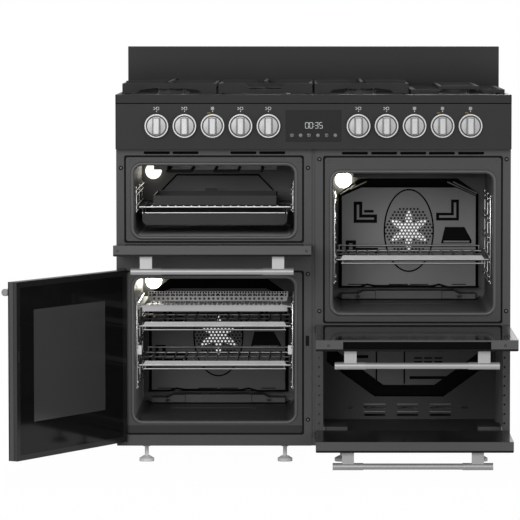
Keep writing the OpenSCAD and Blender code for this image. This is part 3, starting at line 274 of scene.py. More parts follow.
linerSpec = {
    "fleckScale": 950.0, "fleckSize": 0.16, "rough": 0.40,
    # painted shade: the lip tone blackens the foot of each flange, as a shadow gap
    "flangeDepth": 0.0025, "flange": (0.030, 0.036), "lip": 0.004,
    # painted light: the left wall's tone is paler than the enamel
    "insideFrom": 0.004, "floorMargin": 0.003, "leftWall": 0.28, "wallAt": 0.2005,
    # painted shade: the chamber tone is the black round and above the fan cover
    "chamberFrom": 0.4075, "chamberHalf": 0.186, "chamberTop": 0.130, "chamberSlope": 1.4, "chamberShade": 0.002,
}


def makeLiner(name, tones, floor, lip, fan=None, chamberShade=None):  # lip: the top of its foot, painted black as shade, and of the floor; floor: the floor's tone, painted light in the grill oven; fan: its x
    f, spec = Finish(name), linerSpec
    x, y, z = f.axes()
    cloud = f.noise("firing")
    fleck = f.node("TexVoronoi", {}, {"Vector": f.place(), "Scale": spec["fleckScale"]}, "Distance")
    inside, flange = y > spec["insideFrom"], y < spec["flangeDepth"]
    tone = f.greys(cloud * 0.6 + (fleck < spec["fleckSize"]) * 0.35, tones)
    # painted light: the floor gets a tone of its own, pale in the grill oven against the pan's shadow
    tone = f.mix((z < lip[1] + spec["floorMargin"]) * inside, tone, grey(floor))
    tone = f.mix(flange, tone, f.greys(cloud, spec["flange"]))
    # painted shade: the foot of the flange is black
    tone = f.mix(flange * (z < lip[0]), tone, grey(spec["lip"]))
    black = 0.0
    if chamberShade:  # painted shade: black round and above the fan cover
        side = (x - fan).absolute()
        # painted light: the left wall is paler
        tone = f.mix((x < fan - spec["wallAt"]) * inside, tone, grey(spec["leftWall"]))
        corner = side < (chamberShade[1] - z) * spec["chamberSlope"] + spec["chamberTop"]
        black = (side < spec["chamberHalf"]) * z.between(*chamberShade) * corner * (y > spec["chamberFrom"])
        tone = f.mix(black, tone, grey(spec["chamberShade"]))
    return f.give(BaseColor=tone, Metallic=black, Roughness=spec["rough"] + cloud.spread(0.08),
                  SpecularLevel=0.25, Normal=f.waved(0.06))


coverSpec = {"left": (0.175, 0.195), "right": (0.064, 0.076), "rough": 0.42, "markDepth": 0.4064, "mark": 0.003}


def makeCover(name):  # enamel with painted light and shade: paler on the left cover than the right, black in the pressed marks
    f, spec = Finish(name), coverSpec
    x, y, z = f.axes()
    cloud = f.noise("firing")
    # painted light: the two covers, one enamel, get different tones for how each is lit
    sheet = f.mix(x > 0.0, f.greys(cloud, spec["right"]), f.greys(cloud, spec["left"]))
    # painted shade: the pressed marks are black
    mark = y > spec["markDepth"]
    return f.give(BaseColor=f.mix(mark, sheet, grey(spec["mark"])), Metallic=mark,
                  Roughness=spec["rough"] + cloud.spread(0.08), SpecularLevel=0.2, Normal=f.waved(0.05))


rackPanSpec = {
    "enamel": (0.017, 0.024), "rough": 0.34, "wire": 0.62, "midWire": 0.07,
    "rack": (0.6499, 0.6553), "rackFront": 0.068, "tray": (0.6350, 0.6375), "trayFront": 0.0655,
}


def makeRackPan(name):  # enamelled pan and tray, bright wires between them
    f, spec = Finish(name), rackPanSpec
    x, y, z = f.axes()
    cloud = f.noise("firing")
    rack, tray = z.between(*spec["rack"]), z.between(*spec["tray"])
    wires = (rack * (y < spec["rackFront"]) + tray * (y < spec["trayFront"])) > 0.5
    tone = f.mix(rack, f.greys(cloud, spec["enamel"]), grey(spec["midWire"]))
    return f.give(BaseColor=f.mix(wires, tone, grey(spec["wire"])), Metallic=wires * 0.8,
                  Roughness=spec["rough"] + cloud.spread(0.08), SpecularLevel=0.15, Normal=f.waved(0.05))


basketSpec = {
    "front": (0.30, 0.34), "sheet": (0.55, 0.65), "hole": 0.006, "rough": 0.40, "frontAt": 0.053,
    "pitch": (0.0070, 0.0062, 0.0070), "half": (0.30, 0.34, 0.32),  # holes along x, y and z
    "wallFrom": 0.3985, "band": 0.088, "plain": 0.42, "middle": -0.252, "halfWidth": 0.182,
}


def makeBasket(name):  # perforated sheet, its holes drawn dark
    f, spec = Finish(name), basketSpec
    x, y, z = f.axes()
    inHole = [((at / pitch).fraction() - 0.5).absolute() < half
             for at, pitch, half in zip((x, y, z), spec["pitch"], spec["half"])]
    wall, behind = z > spec["wallFrom"], y > spec["frontAt"]
    rows = inHole[1] * ((y / spec["band"]).fraction() > spec["plain"])
    holes = inHole[0] * ((wall * inHole[2] + (1.0 - wall) * rows) > 0.5) * behind
    cloud = f.noise("plating")
    tone = f.mix(behind, f.greys(cloud, spec["front"]), f.greys(cloud, spec["sheet"]))
    tone = f.mix(holes * ((x - spec["middle"]).absolute() < spec["halfWidth"]), tone, grey(spec["hole"]))
    return f.give(BaseColor=tone, Metallic=0.3, Roughness=spec["rough"] + cloud.spread(0.08),
                  SpecularLevel=0.05)


shelfSpec = {"wire": (0.20, 0.24), "middle": 0.10, "rough": 0.34, "middleSpan": (0.078, 0.352)}


def makeShelf(name):  # plated wire, less bright between the front strip and the back wire
    f, spec = Finish(name), shelfSpec
    x, y, z = f.axes()
    marks = f.noise("drawing")
    middle = y.between(*spec["middleSpan"])
    tone = f.mix(middle, f.greys(f.noise("plating"), spec["wire"]), grey(spec["middle"]))
    return f.give(BaseColor=tone, Metallic=1.0 - middle * 0.5, Roughness=spec["rough"] + marks.spread(0.08),
                  Normal=f.bump(marks, 0.03, 0.0002))


doorSpec = {  # levels are heights through the door's thickness, from the hinge pin
    "tray": (0.060, 0.068), "fanTray": (0.060, 0.067), "glass": 0.002, "rough": 0.46,
    "pinFront": 0.0175, "frontLevel": -0.0084, "innerLevel": 0.0131,
    "screw": 0.010, "screwRing": (0.0021, 0.0034), "screwSlot": 0.0009, "screwFront": -0.05,
    "fanPin": 0.489, "fanFrontLevel": -0.0088, "fanRimLevel": 0.0044, "fanLineLevel": 0.0030,
    "fanRim": 0.034, "fanLine": 0.003, "fanInside": 0.012,
}


def doorGloss(f, tone, front, inner):  # satin tray, glossy glass on both faces
    return f.give(BaseColor=tone, Roughness=doorSpec["rough"] - front * 0.34 - inner * 0.30,
                  SpecularLevel=0.15, Normal=f.bump(f.noise("peel"), 0.03, 0.0003))


def makeDoor(name, pin, tilt, inside, screws=()):  # painted tray, black glass front; pin is the hinge's height
    f, spec = Finish(name), doorSpec
    x, y, z = f.axes()
    level = z + (y + spec["pinFront"]) * tilt - pin
    front, inner = level < spec["frontLevel"], level > spec["innerLevel"]
    tone = f.greys(mottle(f.noise("cloud"), f.noise("grain")), spec["tray"])
    for across, up in screws:
        out = ((x - across) * (x - across) + (z - up) * (z - up)).root()
        for ring in (out.between(*spec["screwRing"]), out < spec["screwSlot"]):
            tone = f.mix(ring * (y < spec["screwFront"]), tone, grey(spec["screw"]))
    tone = f.mix(inner, tone, grey(inside))
    return doorGloss(f, f.mix(front, tone, grey(spec["glass"])), front, inner)


def makeFanDoor(name):  # the same for the side-hung door, which stands open by 120 degrees
    f, spec = Finish(name), doorSpec
    x, y, z = f.axes()
    level = (x + spec["fanPin"]) * 0.866 - (y + spec["pinFront"]) * 0.5
    front, inner = level < spec["fanFrontLevel"], level > spec["innerLevel"]
    line = level.between(spec["fanLineLevel"], spec["fanRimLevel"])
    rim = level.between(spec["fanRimLevel"], spec["innerLevel"])
    tone = f.mix(rim, f.greys(f.noise("cloud"), spec["fanTray"]), grey(spec["fanRim"]))
    tone = f.mix((front + line) > 0.5, tone, grey(spec["fanLine"]))
    return doorGloss(f, f.mix(inner, tone, grey(spec["fanInside"])), front, inner)


lampSpec = {
    "warm": (1.0, 0.95, 0.78, 1.0), "warmer": (1.0, 0.97, 0.86, 1.0), "power": 20.0,
    "weak": (0.11, 0.106, 0.092, 1.0), "grillAbove": 0.6,
}


def makeLamps(name):  # lit lamp glasses; the grill oven's lamp is weaker
    f, spec = Finish(name), lampSpec
    x, y, z = f.axes()
    weak = (x < 0.0) * (z > spec["grillAbove"])
    glow = f.mix(f.noise("glow"), spec["warm"], spec["warmer"])
    return f.give(BaseColor=grey(0.9), Roughness=0.2, EmissionStrength=spec["power"],
                  EmissionColor=f.mix(weak, glow, spec["weak"]))


hobSpec = {"tones": (0.022, 0.026), "rough": 0.44, "gap": 0.0015, "gapFrom": -0.0005, "gapTo": 0.0024}


def makeHob(name):  # satin paint, with painted shade: black in the gap above the control panel
    f, spec = Finish(name), hobSpec
    x, y, z = f.axes()
    cloud = f.noise("cloud")
    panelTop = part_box("control_panel")[1][2]
    # painted shade: the gap is black
    gap = z.between(panelTop + spec["gapFrom"], panelTop + spec["gapTo"])
    return f.give(BaseColor=f.mix(gap, f.greys(cloud, spec["tones"]), grey(spec["gap"])), Metallic=gap,
                  Roughness=spec["rough"] + cloud.spread(0.1), SpecularLevel=0.07, Normal=f.peeled())


splashSpec = {"tones": (0.032, 0.036), "foot": 0.018, "rough": 0.44, "footTop": 0.955, "fade": 14.0}


def makeSplash(name):  # satin paint, darker towards the hob as painted shade
    f, spec = Finish(name), splashSpec
    x, y, z = f.axes()
    # painted shade: the foot tone darkens the lower part
    rise = ((z - spec["footTop"]) * spec["fade"]).clamped()
    tone = f.mix(rise, grey(spec["foot"]), f.greys(f.noise("cloud"), spec["tones"]))
    return f.give(BaseColor=tone, Roughness=spec["rough"] + f.noise("grain").spread(0.1), SpecularLevel=0.06,
                  Normal=f.peeled())


storageSpec = {
    "tones": (0.048, 0.058), "sides": 0.30, "recess": 0.003, "panel": (0.13, 0.15), "rough": 0.42,
    "middle": 0.2535, "halfWidth": 0.2255, "sidesTo": 0.395, "recessFrom": 0.4005, "panelAt": (0.4195, 0.4215),
}


def makeStorage(name):  # painted compartment, with painted light on its paler sides and painted shade in the black recess round a paler inner panel
    f, spec = Finish(name), storageSpec
    x, y, z = f.axes()
    cloud = f.noise("cloud")
    # painted light: the side walls are paler
    side = ((x - spec["middle"]).absolute() > spec["halfWidth"]) * (y < spec["sidesTo"])
    recess, panel = y > spec["recessFrom"], y.between(*spec["panelAt"])
    tone = f.mix(side, f.greys(cloud, spec["tones"]), grey(spec["sides"]))
    # painted shade: the recess is black
    tone = f.mix(recess, tone, grey(spec["recess"]))
    tone = f.mix(panel, tone, f.greys(cloud, spec["panel"]))
    return f.give(BaseColor=tone, Metallic=recess * (1.0 - panel), Roughness=spec["rough"] + cloud.spread(0.06),
                  SpecularLevel=0.15, Normal=f.peeled())


knobSpec = {
    "disc": 0.31, "grip": 0.40, "rim": 0.50, "shadedFlank": 0.13, "line": 0.03, "streak": 0.18, "rough": 0.36,
    "first": 0.1135, "pitch": 0.0706, "height": 0.861,  # where the knobs stand
    "discRadius": 0.0232, "lineRadii": (0.0234, 0.0262), "gripHalf": 0.0088, "flankHalf": 0.0106,
    "stretch": (900.0, 900.0, 9.0),
}


def makeKnob(name):  # satin knob with painted light: a dark ring line and dark grip sides as painted shade, a paler rim and grip as painted highlights
    f, spec = Finish(name), knobSpec
    x, y, z = f.axes()
    pitch = spec["pitch"]
    across = ((x.absolute() - spec["first"]) / pitch + 0.5).fraction() * pitch - pitch / 2
    up = z - spec["height"]
    r = (across * across + up * up).root()
    onDisc = r < spec["discRadius"]
    grip = across.absolute() < spec["gripHalf"]
    shadedFlank = across.absolute().between(spec["gripHalf"], spec["flankHalf"])
    streak = f.noise("streak", f.stretched(spec["stretch"]))
    # painted highlight: the grip is paler than the disc
    tone = f.greys(grip * onDisc, (spec["disc"], spec["grip"]))
    # painted highlight: the rim is paler
    tone = f.mix(r > spec["lineRadii"][1], tone, grey(spec["rim"]))
    # painted shade: the grip's sides are darker
    tone = f.mix(shadedFlank * onDisc, tone, grey(spec["shadedFlank"]))
    # painted shade: the ring line is dark
    tone = f.mix(r.between(*spec["lineRadii"]), tone, grey(spec["line"]))
    tone = f.mix(streak * 0.16 + f.noise("sheen") * 0.08, tone, grey(spec["streak"]))
    return f.give(BaseColor=tone, Metallic=0.35, Roughness=spec["rough"] + streak.spread(0.1),
                  SpecularLevel=0.3, Normal=f.bump(streak, 0.03, 0.0002))


finishes = {
    "paint": makePaint("charcoalPaint", (0.052, 0.060), 0.46, 0.2),
    "framePaint": makeFramePaint("framePaint"),
    "panelPaint": makePaint("panelPaint", (0.025, 0.029), 0.42, 0.07),
    "splashPaint": makeSplash("splashPaint"),
    "hobPaint": makeHob("hobPaint"),
    "fanEnamel": makeLiner("fanEnamel", (0.055, 0.080), 0.040, (0.0985, 0.1105), -0.252, (0.140, 0.440)),
    "mainEnamel": makeLiner("mainEnamel", (0.070, 0.100), 0.060, (0.3510, 0.3865), 0.252, (0.416, 0.707)),
    # painted light: the grill oven's floor tone of 0.40 stands against the pan's shadow
    "grillEnamel": makeLiner("grillEnamel", (0.120, 0.145), 0.40, (0.5630, 0.5810)),
    "coverEnamel": makeCover("coverEnamel"),
    "rackPan": makeRackPan("rackPan"),
    "basket": makeBasket("meshBasket"),
    "storage": makeStorage("storagePaint"),
    "flap": makeDoor("flapPaint", 0.0725, 0.0, 0.010),
    "mainDoor": makeDoor("mainDoorPaint", 0.3425, 0.0, 0.030, ((0.0366, 0.3425), (0.4642, 0.3425))),
    "grillDoor": makeDoor("grillDoorPaint", 0.5485, 0.0437, 0.030, ((-0.483, 0.5597), (-0.0175, 0.5597))),
    "fanDoor": makeFanDoor("fanDoorPaint"),
    "zinc": makeZinc("zincSheet", (0.42, 0.56), 90.0),
    "wire": makeShelf("platedWire"),
    "ladder": makeWire("ladderWire", 0.62, 0.24),
    "satin": makeBrushed("satinBar", 0.28, 0.40, 0.35, (6.0, 900.0, 900.0)),
    "knob": makeKnob("satinKnob"),
    "iron": makeIron("castIron", 0.032, 0.75),
    "doorGlass": makePlain("darkGlass", (0.006, 0.006, 0.0063, 1.0), 0.08, 0.0, 0.10, "glassGrit", 0.0),
    "window": makePlain("windowGlass", (0.047, 0.047, 0.048, 1.0), 0.14, 0.0, 0.10, "glassGrit", 0.0),
    "clockGlass": makePlain("clockGlass", (0.016, 0.016, 0.0165, 1.0), 0.14, 0.0, 0.15, "glassGrit", 0.0),
    "rubber": makePlain("softSeal", (0.060, 0.060, 0.061, 1.0), 0.40, 0.0, 0.35, "softGrit", 0.1),
    "button": makePlain("stopButton", (0.085, 0.085, 0.086, 1.0), 0.45, 0.0, 0.3, "softGrit", 0.1),
    "lamp": makeLamps("lampGlow"),
    "brass": makePlain("brassFinish", (0.60, 0.45, 0.20, 1.0), 0.3, 1.0),
    "motor": makePlain("motorPaint", (0.30, 0.30, 0.31, 1.0), 0.5),
    "element": makePlain("elementSheath", grey(0.010), 0.6, 0.0, 0.05),
    "bracket": makePlain("bracketSteel", grey(0.05), 0.5, 0.0, 0.1),
    "foot": makePlain("footMoulding", grey(0.72), 0.5, 0.0, 0.3),
    "burner": makePlain("burnerAlloy", (0.05, 0.05, 0.051, 1.0), 0.5, 0.2, 0.2),
    "fanDark": makePlain("fanDark", grey(0.010), 0.5, 0.3, 0.1),
    "clip": makePlain("ladderClip", (0.75, 0.75, 0.74, 1.0), 0.5, 0.0, 0.3),
    # painted shade: the pressed lines are black
    "pressShade": makePlain("pressShade", grey(0.003), 0.6, 0.0, 0.03),
    # painted light: the reflectors are one steel, much paler in the grill oven to stand against its shade
    "litGrillReflector": makePlain("reflectorSteel", grey(0.50), 0.5, 0.0, 0.2),
    "litMainReflector": makePlain("litMainReflector", grey(0.07), 0.5, 0.0, 0.1),
    "trough": makePlain("floorPress", grey(0.085), 0.4, 0.0, 0.1),
    # painted highlight: the louvres' upper lips are pale
    "lip": makePlain("litLouvreLip", grey(0.42), 0.4, 0.0, 0.3),
    "rib": makePlain("chamberRib", (0.30, 0.295, 0.27, 1.0), 0.4, 0.0, 0.3),
    "black": makePlain("slotBlack", grey(0.002), 0.8, 0.0, 0.05),
    # painted light: the fan arms glow though they are no lamp
    "shine": makeGlow("fanShine", grey(0.80), 0.75),
    # painted light: the printed marks glow though they are no lamp
    "glowingInk": makeGlow("glowingPaleInk", grey(0.30), 0.5),
    "digit": makeGlow("digitLight", (0.38, 0.39, 0.40, 1.0), 0.55),
    "icon": makeGlow("iconLight", grey(0.085), 0.5),
    "amber": makePlain("amberInk", (0.35, 0.24, 0.03, 1.0), 0.5, 0.0, 0.1),
}
print("finishes made:", len(finishes))

nodeFinish = {
    "paint": ["side_panels", "base_frame"],
    "grillDoor": ["grill_door"],
    "fanDoor": ["fan_door"],
    "mainDoor": ["main_door"],
    "framePaint": ["front_frames"],
    "hobPaint": ["hob_top"],
    "panelPaint": ["control_panel"],
    "splashPaint": ["splashback"],
    "grillEnamel": ["grill_oven_liner"],
    "fanEnamel": ["fan_oven_liner"],
    "mainEnamel": ["main_oven_liner"],
    "coverEnamel": ["fan_covers"],
    "rackPan": ["grill_pan"],
    "basket": ["mesh_basket"],
    "flap": ["storage_flap"],
    "ladder": ["shelf_ladders"],
    "fanDark": ["fan_oven_fan", "main_oven_fan"],
    "storage": ["storage_liner"],
    "zinc": ["rear_panel"],
    "bracket": ["hinge_brackets"],
    "foot": ["levelling_feet"],
    "wire": ["upper_shelf", "lower_shelf", "main_shelf"],
    "satin": ["grill_door_handle", "main_door_handle", "storage_handle", "fan_door_handle"],
    "knob": ["knob_%d" % i for i in range(1, 11)],
    "iron": ["pan_support_%d" % i for i in range(1, 5)],
    "doorGlass": ["grill_door_glass", "fan_door_glass", "main_door_glass"],
    "clockGlass": ["clock_display"],
    "rubber": ["seals_and_stops"],
    "lamp": ["oven_lamps"],
    "brass": ["gas_manifold"] + ["tap_spindle_%d" % i for i in (1, 2, 4, 5, 6, 7)],
    "motor": ["fan_motors"],
    "element": ["heating_elements"],
    "burner": ["burners"],
}
for finishName, names in nodeFinish.items():
    for name in names:
        slots = nodes[name].data.materials
        slots.clear()
        slots.append(finishes[finishName])
print("CAD nodes finished:", sum(len(names) for names in nodeFinish.values()))

# From here on, every length of a piece is in mm.

toFront, toBack, toTop = Vector((0, -1, 0)), Vector((0, 1, 0)), Vector((0, 0, 1))


def fresh():  # object mode, nothing selected
    if bpy.context.object and bpy.context.object.mode == "EDIT":
        bpy.ops.object.mode_set(mode="OBJECT")
    bpy.ops.object.select_all(action="DESELECT")


def hold(o):  # o alone is selected and active
    fresh()
    o.select_set(True)
    bpy.context.view_layer.objects.active = o
    return o


def settle(o, name):  # its place and size go into the mesh
    o.name = name
    o.data.name = name
    hold(o)
    bpy.ops.object.transform_apply(location=True, rotation=True, scale=True)
    return o


def block(name, x, y, z):  # x, y and z are (low, high)
    fresh()
    spans = (x, y, z)
    bpy.ops.mesh.primitive_cube_add(size=1, location=[(a + b) / 2 * mm for a, b in spans],
                                    scale=[(b - a) * mm for a, b in spans])
    return settle(bpy.context.object, name)


def edit(o, mode="FACE"):
    hold(o)
    bpy.ops.object.mode_set(mode="EDIT")
    bpy.ops.mesh.select_mode(type=mode)
    bpy.ops.mesh.select_all(action="DESELECT")


def pick(o, test, mode="FACE"):  # selects what the test takes, given the middle and the normal
    cage = bmesh.from_edit_mesh(o.data)
    if mode == "FACE":
        for face in cage.faces:
            if test(face.calc_center_median() / mm, face.normal):
                face.select_set(True)
    else:
        for vertex in cage.verts:
            if test(vertex.co / mm, vertex.normal):
                vertex.select_set(True)
    cage.select_flush_mode()
    bmesh.update_edit_mesh(o.data)


def insetFaces(o, facing, thickness, depth=0.0, shift=None):  # the faces that look one way, then moved by shift
    edit(o)
    pick(o, lambda at, normal: normal.dot(facing) > 0.9)
    bpy.ops.mesh.inset(thickness=thickness * mm, depth=depth * mm)
    if shift:
        bpy.ops.mesh.extrude_region_move(TRANSFORM_OT_translate={"value": [v * mm for v in shift]})
    return hold(o)


def turned(name, place, profile, sides):  # profile is (radius, how far in front) from back to front
    fresh()
    bpy.ops.mesh.primitive_circle_add(vertices=sides, radius=profile[0][0] * mm, fill_type="NGON",
                                      location=(0, 0, profile[0][1] * mm))
    o = bpy.context.object
    bpy.ops.object.transform_apply(location=True, rotation=True, scale=True)
    bpy.ops.object.mode_set(mode="EDIT")
    bpy.ops.mesh.select_all(action="SELECT")
    for before, after in zip(profile, profile[1:]):
        rise = (after[1] - before[1]) * mm
        grow = after[0] / before[0]
        bpy.ops.mesh.extrude_region_move(TRANSFORM_OT_translate={"value": (0, 0, rise)})
        bpy.ops.transform.resize(value=(grow, grow, 1), center_override=(0, 0, after[1] * mm))
    bpy.ops.object.mode_set(mode="OBJECT")
    o.rotation_euler = (math.pi / 2, 0, 0)
    o.location = [v * mm for v in place]
    return settle(o, name)


def joined(parts, name):
    fresh()
    for part in parts:
        part.select_set(True)
    bpy.context.view_layer.objects.active = parts[0]
    bpy.ops.object.join()
    return settle(bpy.context.object, name)


def copiedTo(o, places, name):  # one piece of copies at (x, z), the pattern at the origin taken away
    copies = []
    for x, z in places:
        made = o.copy()
        made.data = o.data.copy()
        made.data.transform(Matrix.Translation((x * mm, 0, z * mm)))
        scene.collection.objects.link(made)
        copies.append(made)
    bpy.data.objects.remove(o, do_unlink=True)
    return joined(copies, name)


def rod(name, a, b, radius):  # round wire from a to b
    fresh()
    start, end = Vector(a) * mm, Vector(b) * mm
    bpy.ops.mesh.primitive_cylinder_add(vertices=14, radius=radius * mm, depth=(end - start).length,
                                        location=(start + end) / 2,
                                        rotation=(end - start).to_track_quat("Z", "Y").to_euler())
    return settle(bpy.context.object, name)


def bar(name, a, b, y, width, thick):  # flat strip from a to b, (x, z), at depth y
    length = math.hypot(b[0] - a[0], b[1] - a[1])
    o = block(name, (-length / 2, length / 2), (-thick, 0), (-width / 2, width / 2))
    o.rotation_euler = (0, -math.atan2(b[1] - a[1], b[0] - a[0]), 0)
    o.location = ((a[0] + b[0]) / 2 * mm, y * mm, (a[1] + b[1]) / 2 * mm)
    return settle(o, name)


def path(name, points, y, width, thick):  # strips along a row of points, with round joints
    parts = [bar(name, a, b, y, width, thick) for a, b in zip(points, points[1:])]
    parts += [turned(name, (x, y, z), [(width / 2, 0.0), (width / 2, thick)], 20) for x, z in points[1:-1]]
    return joined(parts, name)


hinges = {  # the line that a door turns about, and how far it stands open
    "main_door": {"at": (0, -17.5, 342.5), "turn": 90.0, "axis": "X"},
    "fan_door": {"at": (-489, -17.5, 0), "turn": -120.0, "axis": "Z"},
}


def swing(o, door):  # from where it is with the door closed to where it stands open
    spec = hinges[door]
    at = Vector(spec["at"]) * mm
    turn = Matrix.Rotation(math.radians(spec["turn"]), 4, spec["axis"])
    o.data.transform(Matrix.Translation(at) @ turn @ Matrix.Translation(-at))
    return o


roundSpec = {"steps": 2, "smoothBelow": 35.0}


def give(o, finish, body, bevel=0.0):  # rounding, finish, slot and body
    hold(o)
    if bevel:
        rounding = o.modifiers.new("rounding", "BEVEL")
        rounding.width = bevel * mm
        rounding.segments = roundSpec["steps"]
        rounding.limit_method = "ANGLE"
        bpy.ops.object.modifier_apply(modifier=rounding.name)
    bpy.ops.object.shade_smooth_by_angle(angle=math.radians(roundSpec["smoothBelow"]))
    o.data.materials.clear()
    o.data.materials.append(finishes[finish])
    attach(o, body)
    return o


sealSpec = {
    "openings": {
        "grillSeal": {"x": (-454.5, -49.5), "z": (581.0, 759.0)},
        "fanSeal": {"x": (-454.5, -49.5), "z": (110.5, 472.5)},
        "mainSeal": {"x": (49.5, 454.5), "z": (386.5, 739.5)},
    },
    "tube": 4.8, "corner": 25.0, "out": 5.0, "squash": 0.68,
}


def makeSeal(name, x, z):  # round tube along the opening, pressed a little flat
    fresh()
    out = sealSpec["out"]
    bpy.ops.mesh.primitive_plane_add(size=1)
    o = bpy.context.object
    o.scale = ((x[1] - x[0] + 2 * out) * mm, (z[1] - z[0] + 2 * out) * mm, 1)
    o.rotation_euler = (math.pi / 2, 0, 0)
    o.location = ((x[0] + x[1]) / 2 * mm, 0, (z[0] + z[1]) / 2 * mm)
    settle(o, name)
    edit(o, "VERT")
    bpy.ops.mesh.select_all(action="SELECT")
    bpy.ops.mesh.bevel(offset=sealSpec["corner"] * mm, segments=8, affect="VERTICES")
    bpy.ops.mesh.select_mode(type="FACE")
    bpy.ops.mesh.select_all(action="SELECT")
    bpy.ops.mesh.delete(type="ONLY_FACE")
    hold(o)
    bpy.ops.object.convert(target="CURVE")
    o = bpy.context.object
    o.data.bevel_depth = sealSpec["tube"] * mm
    o.data.bevel_resolution = 4
    bpy.ops.object.convert(target="MESH")
    o = bpy.context.object
    for vertex in o.data.vertices:
        vertex.co.y = min(vertex.co.y * sealSpec["squash"], 0.0)
    return give(o, "rubber", "cabinet")


for sealName, opening in sealSpec["openings"].items():
    makeSeal(sealName, opening["x"], opening["z"])

stopSpec = {  # rubber stops on the front frames
    "places": [(-488, 753.7), (-14.2, 753.7), (-14.2, 484), (-14.2, 113), (15, 775.7), (489, 775.7),
               (15, 390), (489, 390), (15, 300), (489, 300)],
    "ring": [(5.3, 0.0), (5.3, 1.6), (4.6, 2.0), (3.4, 2.0), (3.2, 1.2)],
    "button": [(3.0, 0.5), (3.0, 2.6), (2.4, 3.3), (1.2, 3.4)],
    "sides": 32,
}
ring = turned("stopRing", (0, 0, 0), stopSpec["ring"], stopSpec["sides"])
stopRings = give(copiedTo(ring, stopSpec["places"], "stopRings"), "black", "cabinet")
button = turned("stopButton", (0, 0, 0), stopSpec["button"], stopSpec["sides"])
give(copiedTo(button, stopSpec["places"], "stopButtons"), "button", "cabinet")
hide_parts("seals_and_stops")
print("seals and stops made")


def plate(name, x, z, spec):  # thin raised print, its front edges drawn in
    o = block(name, x, (spec["face"] - spec["thick"], spec["face"]), z)
    return insetFaces(o, toFront, 0.12, 0.04)


def spot(name, x, z, halfWide, halfHigh, spec):
    return plate(name, (x - halfWide, x + halfWide), (z - halfHigh, z + halfHigh), spec)


def squareMark(name, x, z, size, line, spec):  # square outline
    half = size / 2
    flat = [spot(name, x, z + side * half, half, line / 2, spec) for side in (-1, 1)]
    return flat + [spot(name, x + side * half, z, line / 2, half, spec) for side in (-1, 1)]


markSpec = {  # generic signs above the knobs
    "knobs": [-395.9, -325.3, -254.7, -184.1, -113.5, 113.5, 184.1, 254.7, 325.3, 395.9],
    "gas": (0, 1, 3, 4, 5, 6), "face": -33.0, "thick": 0.25,
    "z": 905.0, "square": 6.4, "line": 1.1, "gasShift": 2.6, "centre": 1.4,
    "dots": [(-6.2, 2.4), (-3.4, -0.2), (-6.2, -2.6)], "dot": 1.1,
    "tickZ": 897.7, "tick": (0.9, 1.5),
    "amberKnobs": [-254.7, 325.3, 395.9], "amberX": (-13.5, -5.5), "amberZ": (893.2, 894.6),
}
marks = []
for index, x in enumerate(markSpec["knobs"]):
    z = markSpec["z"]
    gas = index in markSpec["gas"]
    middle = x + (markSpec["gasShift"] if gas else 0)
    marks += squareMark("mark", middle, z, markSpec["square"], markSpec["line"], markSpec)
    if gas:
        marks += [spot("mark", x + dx, z + dz, markSpec["dot"], markSpec["dot"], markSpec)
                  for dx, dz in markSpec["dots"]]
    else:
        marks.append(spot("mark", x, z, markSpec["centre"], markSpec["centre"], markSpec))
    marks.append(spot("mark", x, markSpec["tickZ"], *markSpec["tick"], markSpec))
# the printed marks glow as painted light
give(joined(marks, "panelMarks"), "glowingInk", "cabinet")
ambers = [plate("mark", [x + dx for dx in markSpec["amberX"]], markSpec["amberZ"], markSpec)
          for x in markSpec["amberKnobs"]]
give(joined(ambers, "amberMarks"), "amber", "cabinet")

digitSpec = {
    "text": "0035", "centres": [-16.6, -6.0, 7.6, 18.6], "z": 862.4, "wide": 7.6, "high": 15.4,
    "line": 1.05, "flatGap": 0.7, "uprightGap": 0.6, "face": -33.6, "thick": 0.2,  # gaps in line widths
    "colonX": (0.3, 1.7), "colonZ": (859.4, 865.4), "colonHalf": 0.7,
    "segments": {"0": "abcdef", "3": "abcdg", "5": "acdfg"},
}


def segmentPlates(figure, x):
    w, h, t = digitSpec["wide"] / 2, digitSpec["high"] / 2, digitSpec["line"]
    z = digitSpec["z"]
    flat = {"a": z + h - t / 2, "g": z, "d": z - h + t / 2}
    upright = {"b": (w, 1), "c": (w, -1), "e": (-w, -1), "f": (-w, 1)}
    made = []
    for letter in digitSpec["segments"][figure]:
        if letter in flat:
            span = (x - w + digitSpec["flatGap"] * t, x + w - digitSpec["flatGap"] * t)
            level = (flat[letter] - t / 2, flat[letter] + t / 2)
        else:
            side, up = upright[letter]
            span = (x + side - t / 2, x + side + t / 2)
            level = sorted((z + up * digitSpec["uprightGap"] * t, z + up * (h - digitSpec["uprightGap"] * t)))
        made.append(plate("segment", span, level, digitSpec))
    return made


digits = []
for figure, x in zip(digitSpec["text"], digitSpec["centres"]):
    digits += segmentPlates(figure, x)
for z in digitSpec["colonZ"]:
    half = digitSpec["colonHalf"]
    digits.append(plate("segment", digitSpec["colonX"], (z - half, z + half), digitSpec))
give(joined(digits, "clockDigits"), "digit", "cabinet")

iconSpec = {  # generic signs under the digits, a square and a ring by turns
    "x": [-54.2, -32.5, -11.1, 11.1, 33.1, 55.0], "z": 837.5, "face": -33.6, "thick": 0.2,
    "square": 6.4, "line": 1.1, "dot": 1.3, "ring": [(4.4, 0.0), (4.4, 0.15), (3.3, 0.15), (3.3, 0.02)],
}
icons = []
for index, x in enumerate(iconSpec["x"]):
    z, dot = iconSpec["z"], iconSpec["dot"]
    if index % 2:
        icons.append(turned("icon", (x, iconSpec["face"], z), iconSpec["ring"], 24))
    else:
        icons += squareMark("icon", x, z, iconSpec["square"], iconSpec["line"], iconSpec)
    icons.append(spot("icon", x, z, dot, dot, iconSpec))
give(joined(icons, "clockIcons"), "icon", "cabinet")
print("panel marks made")

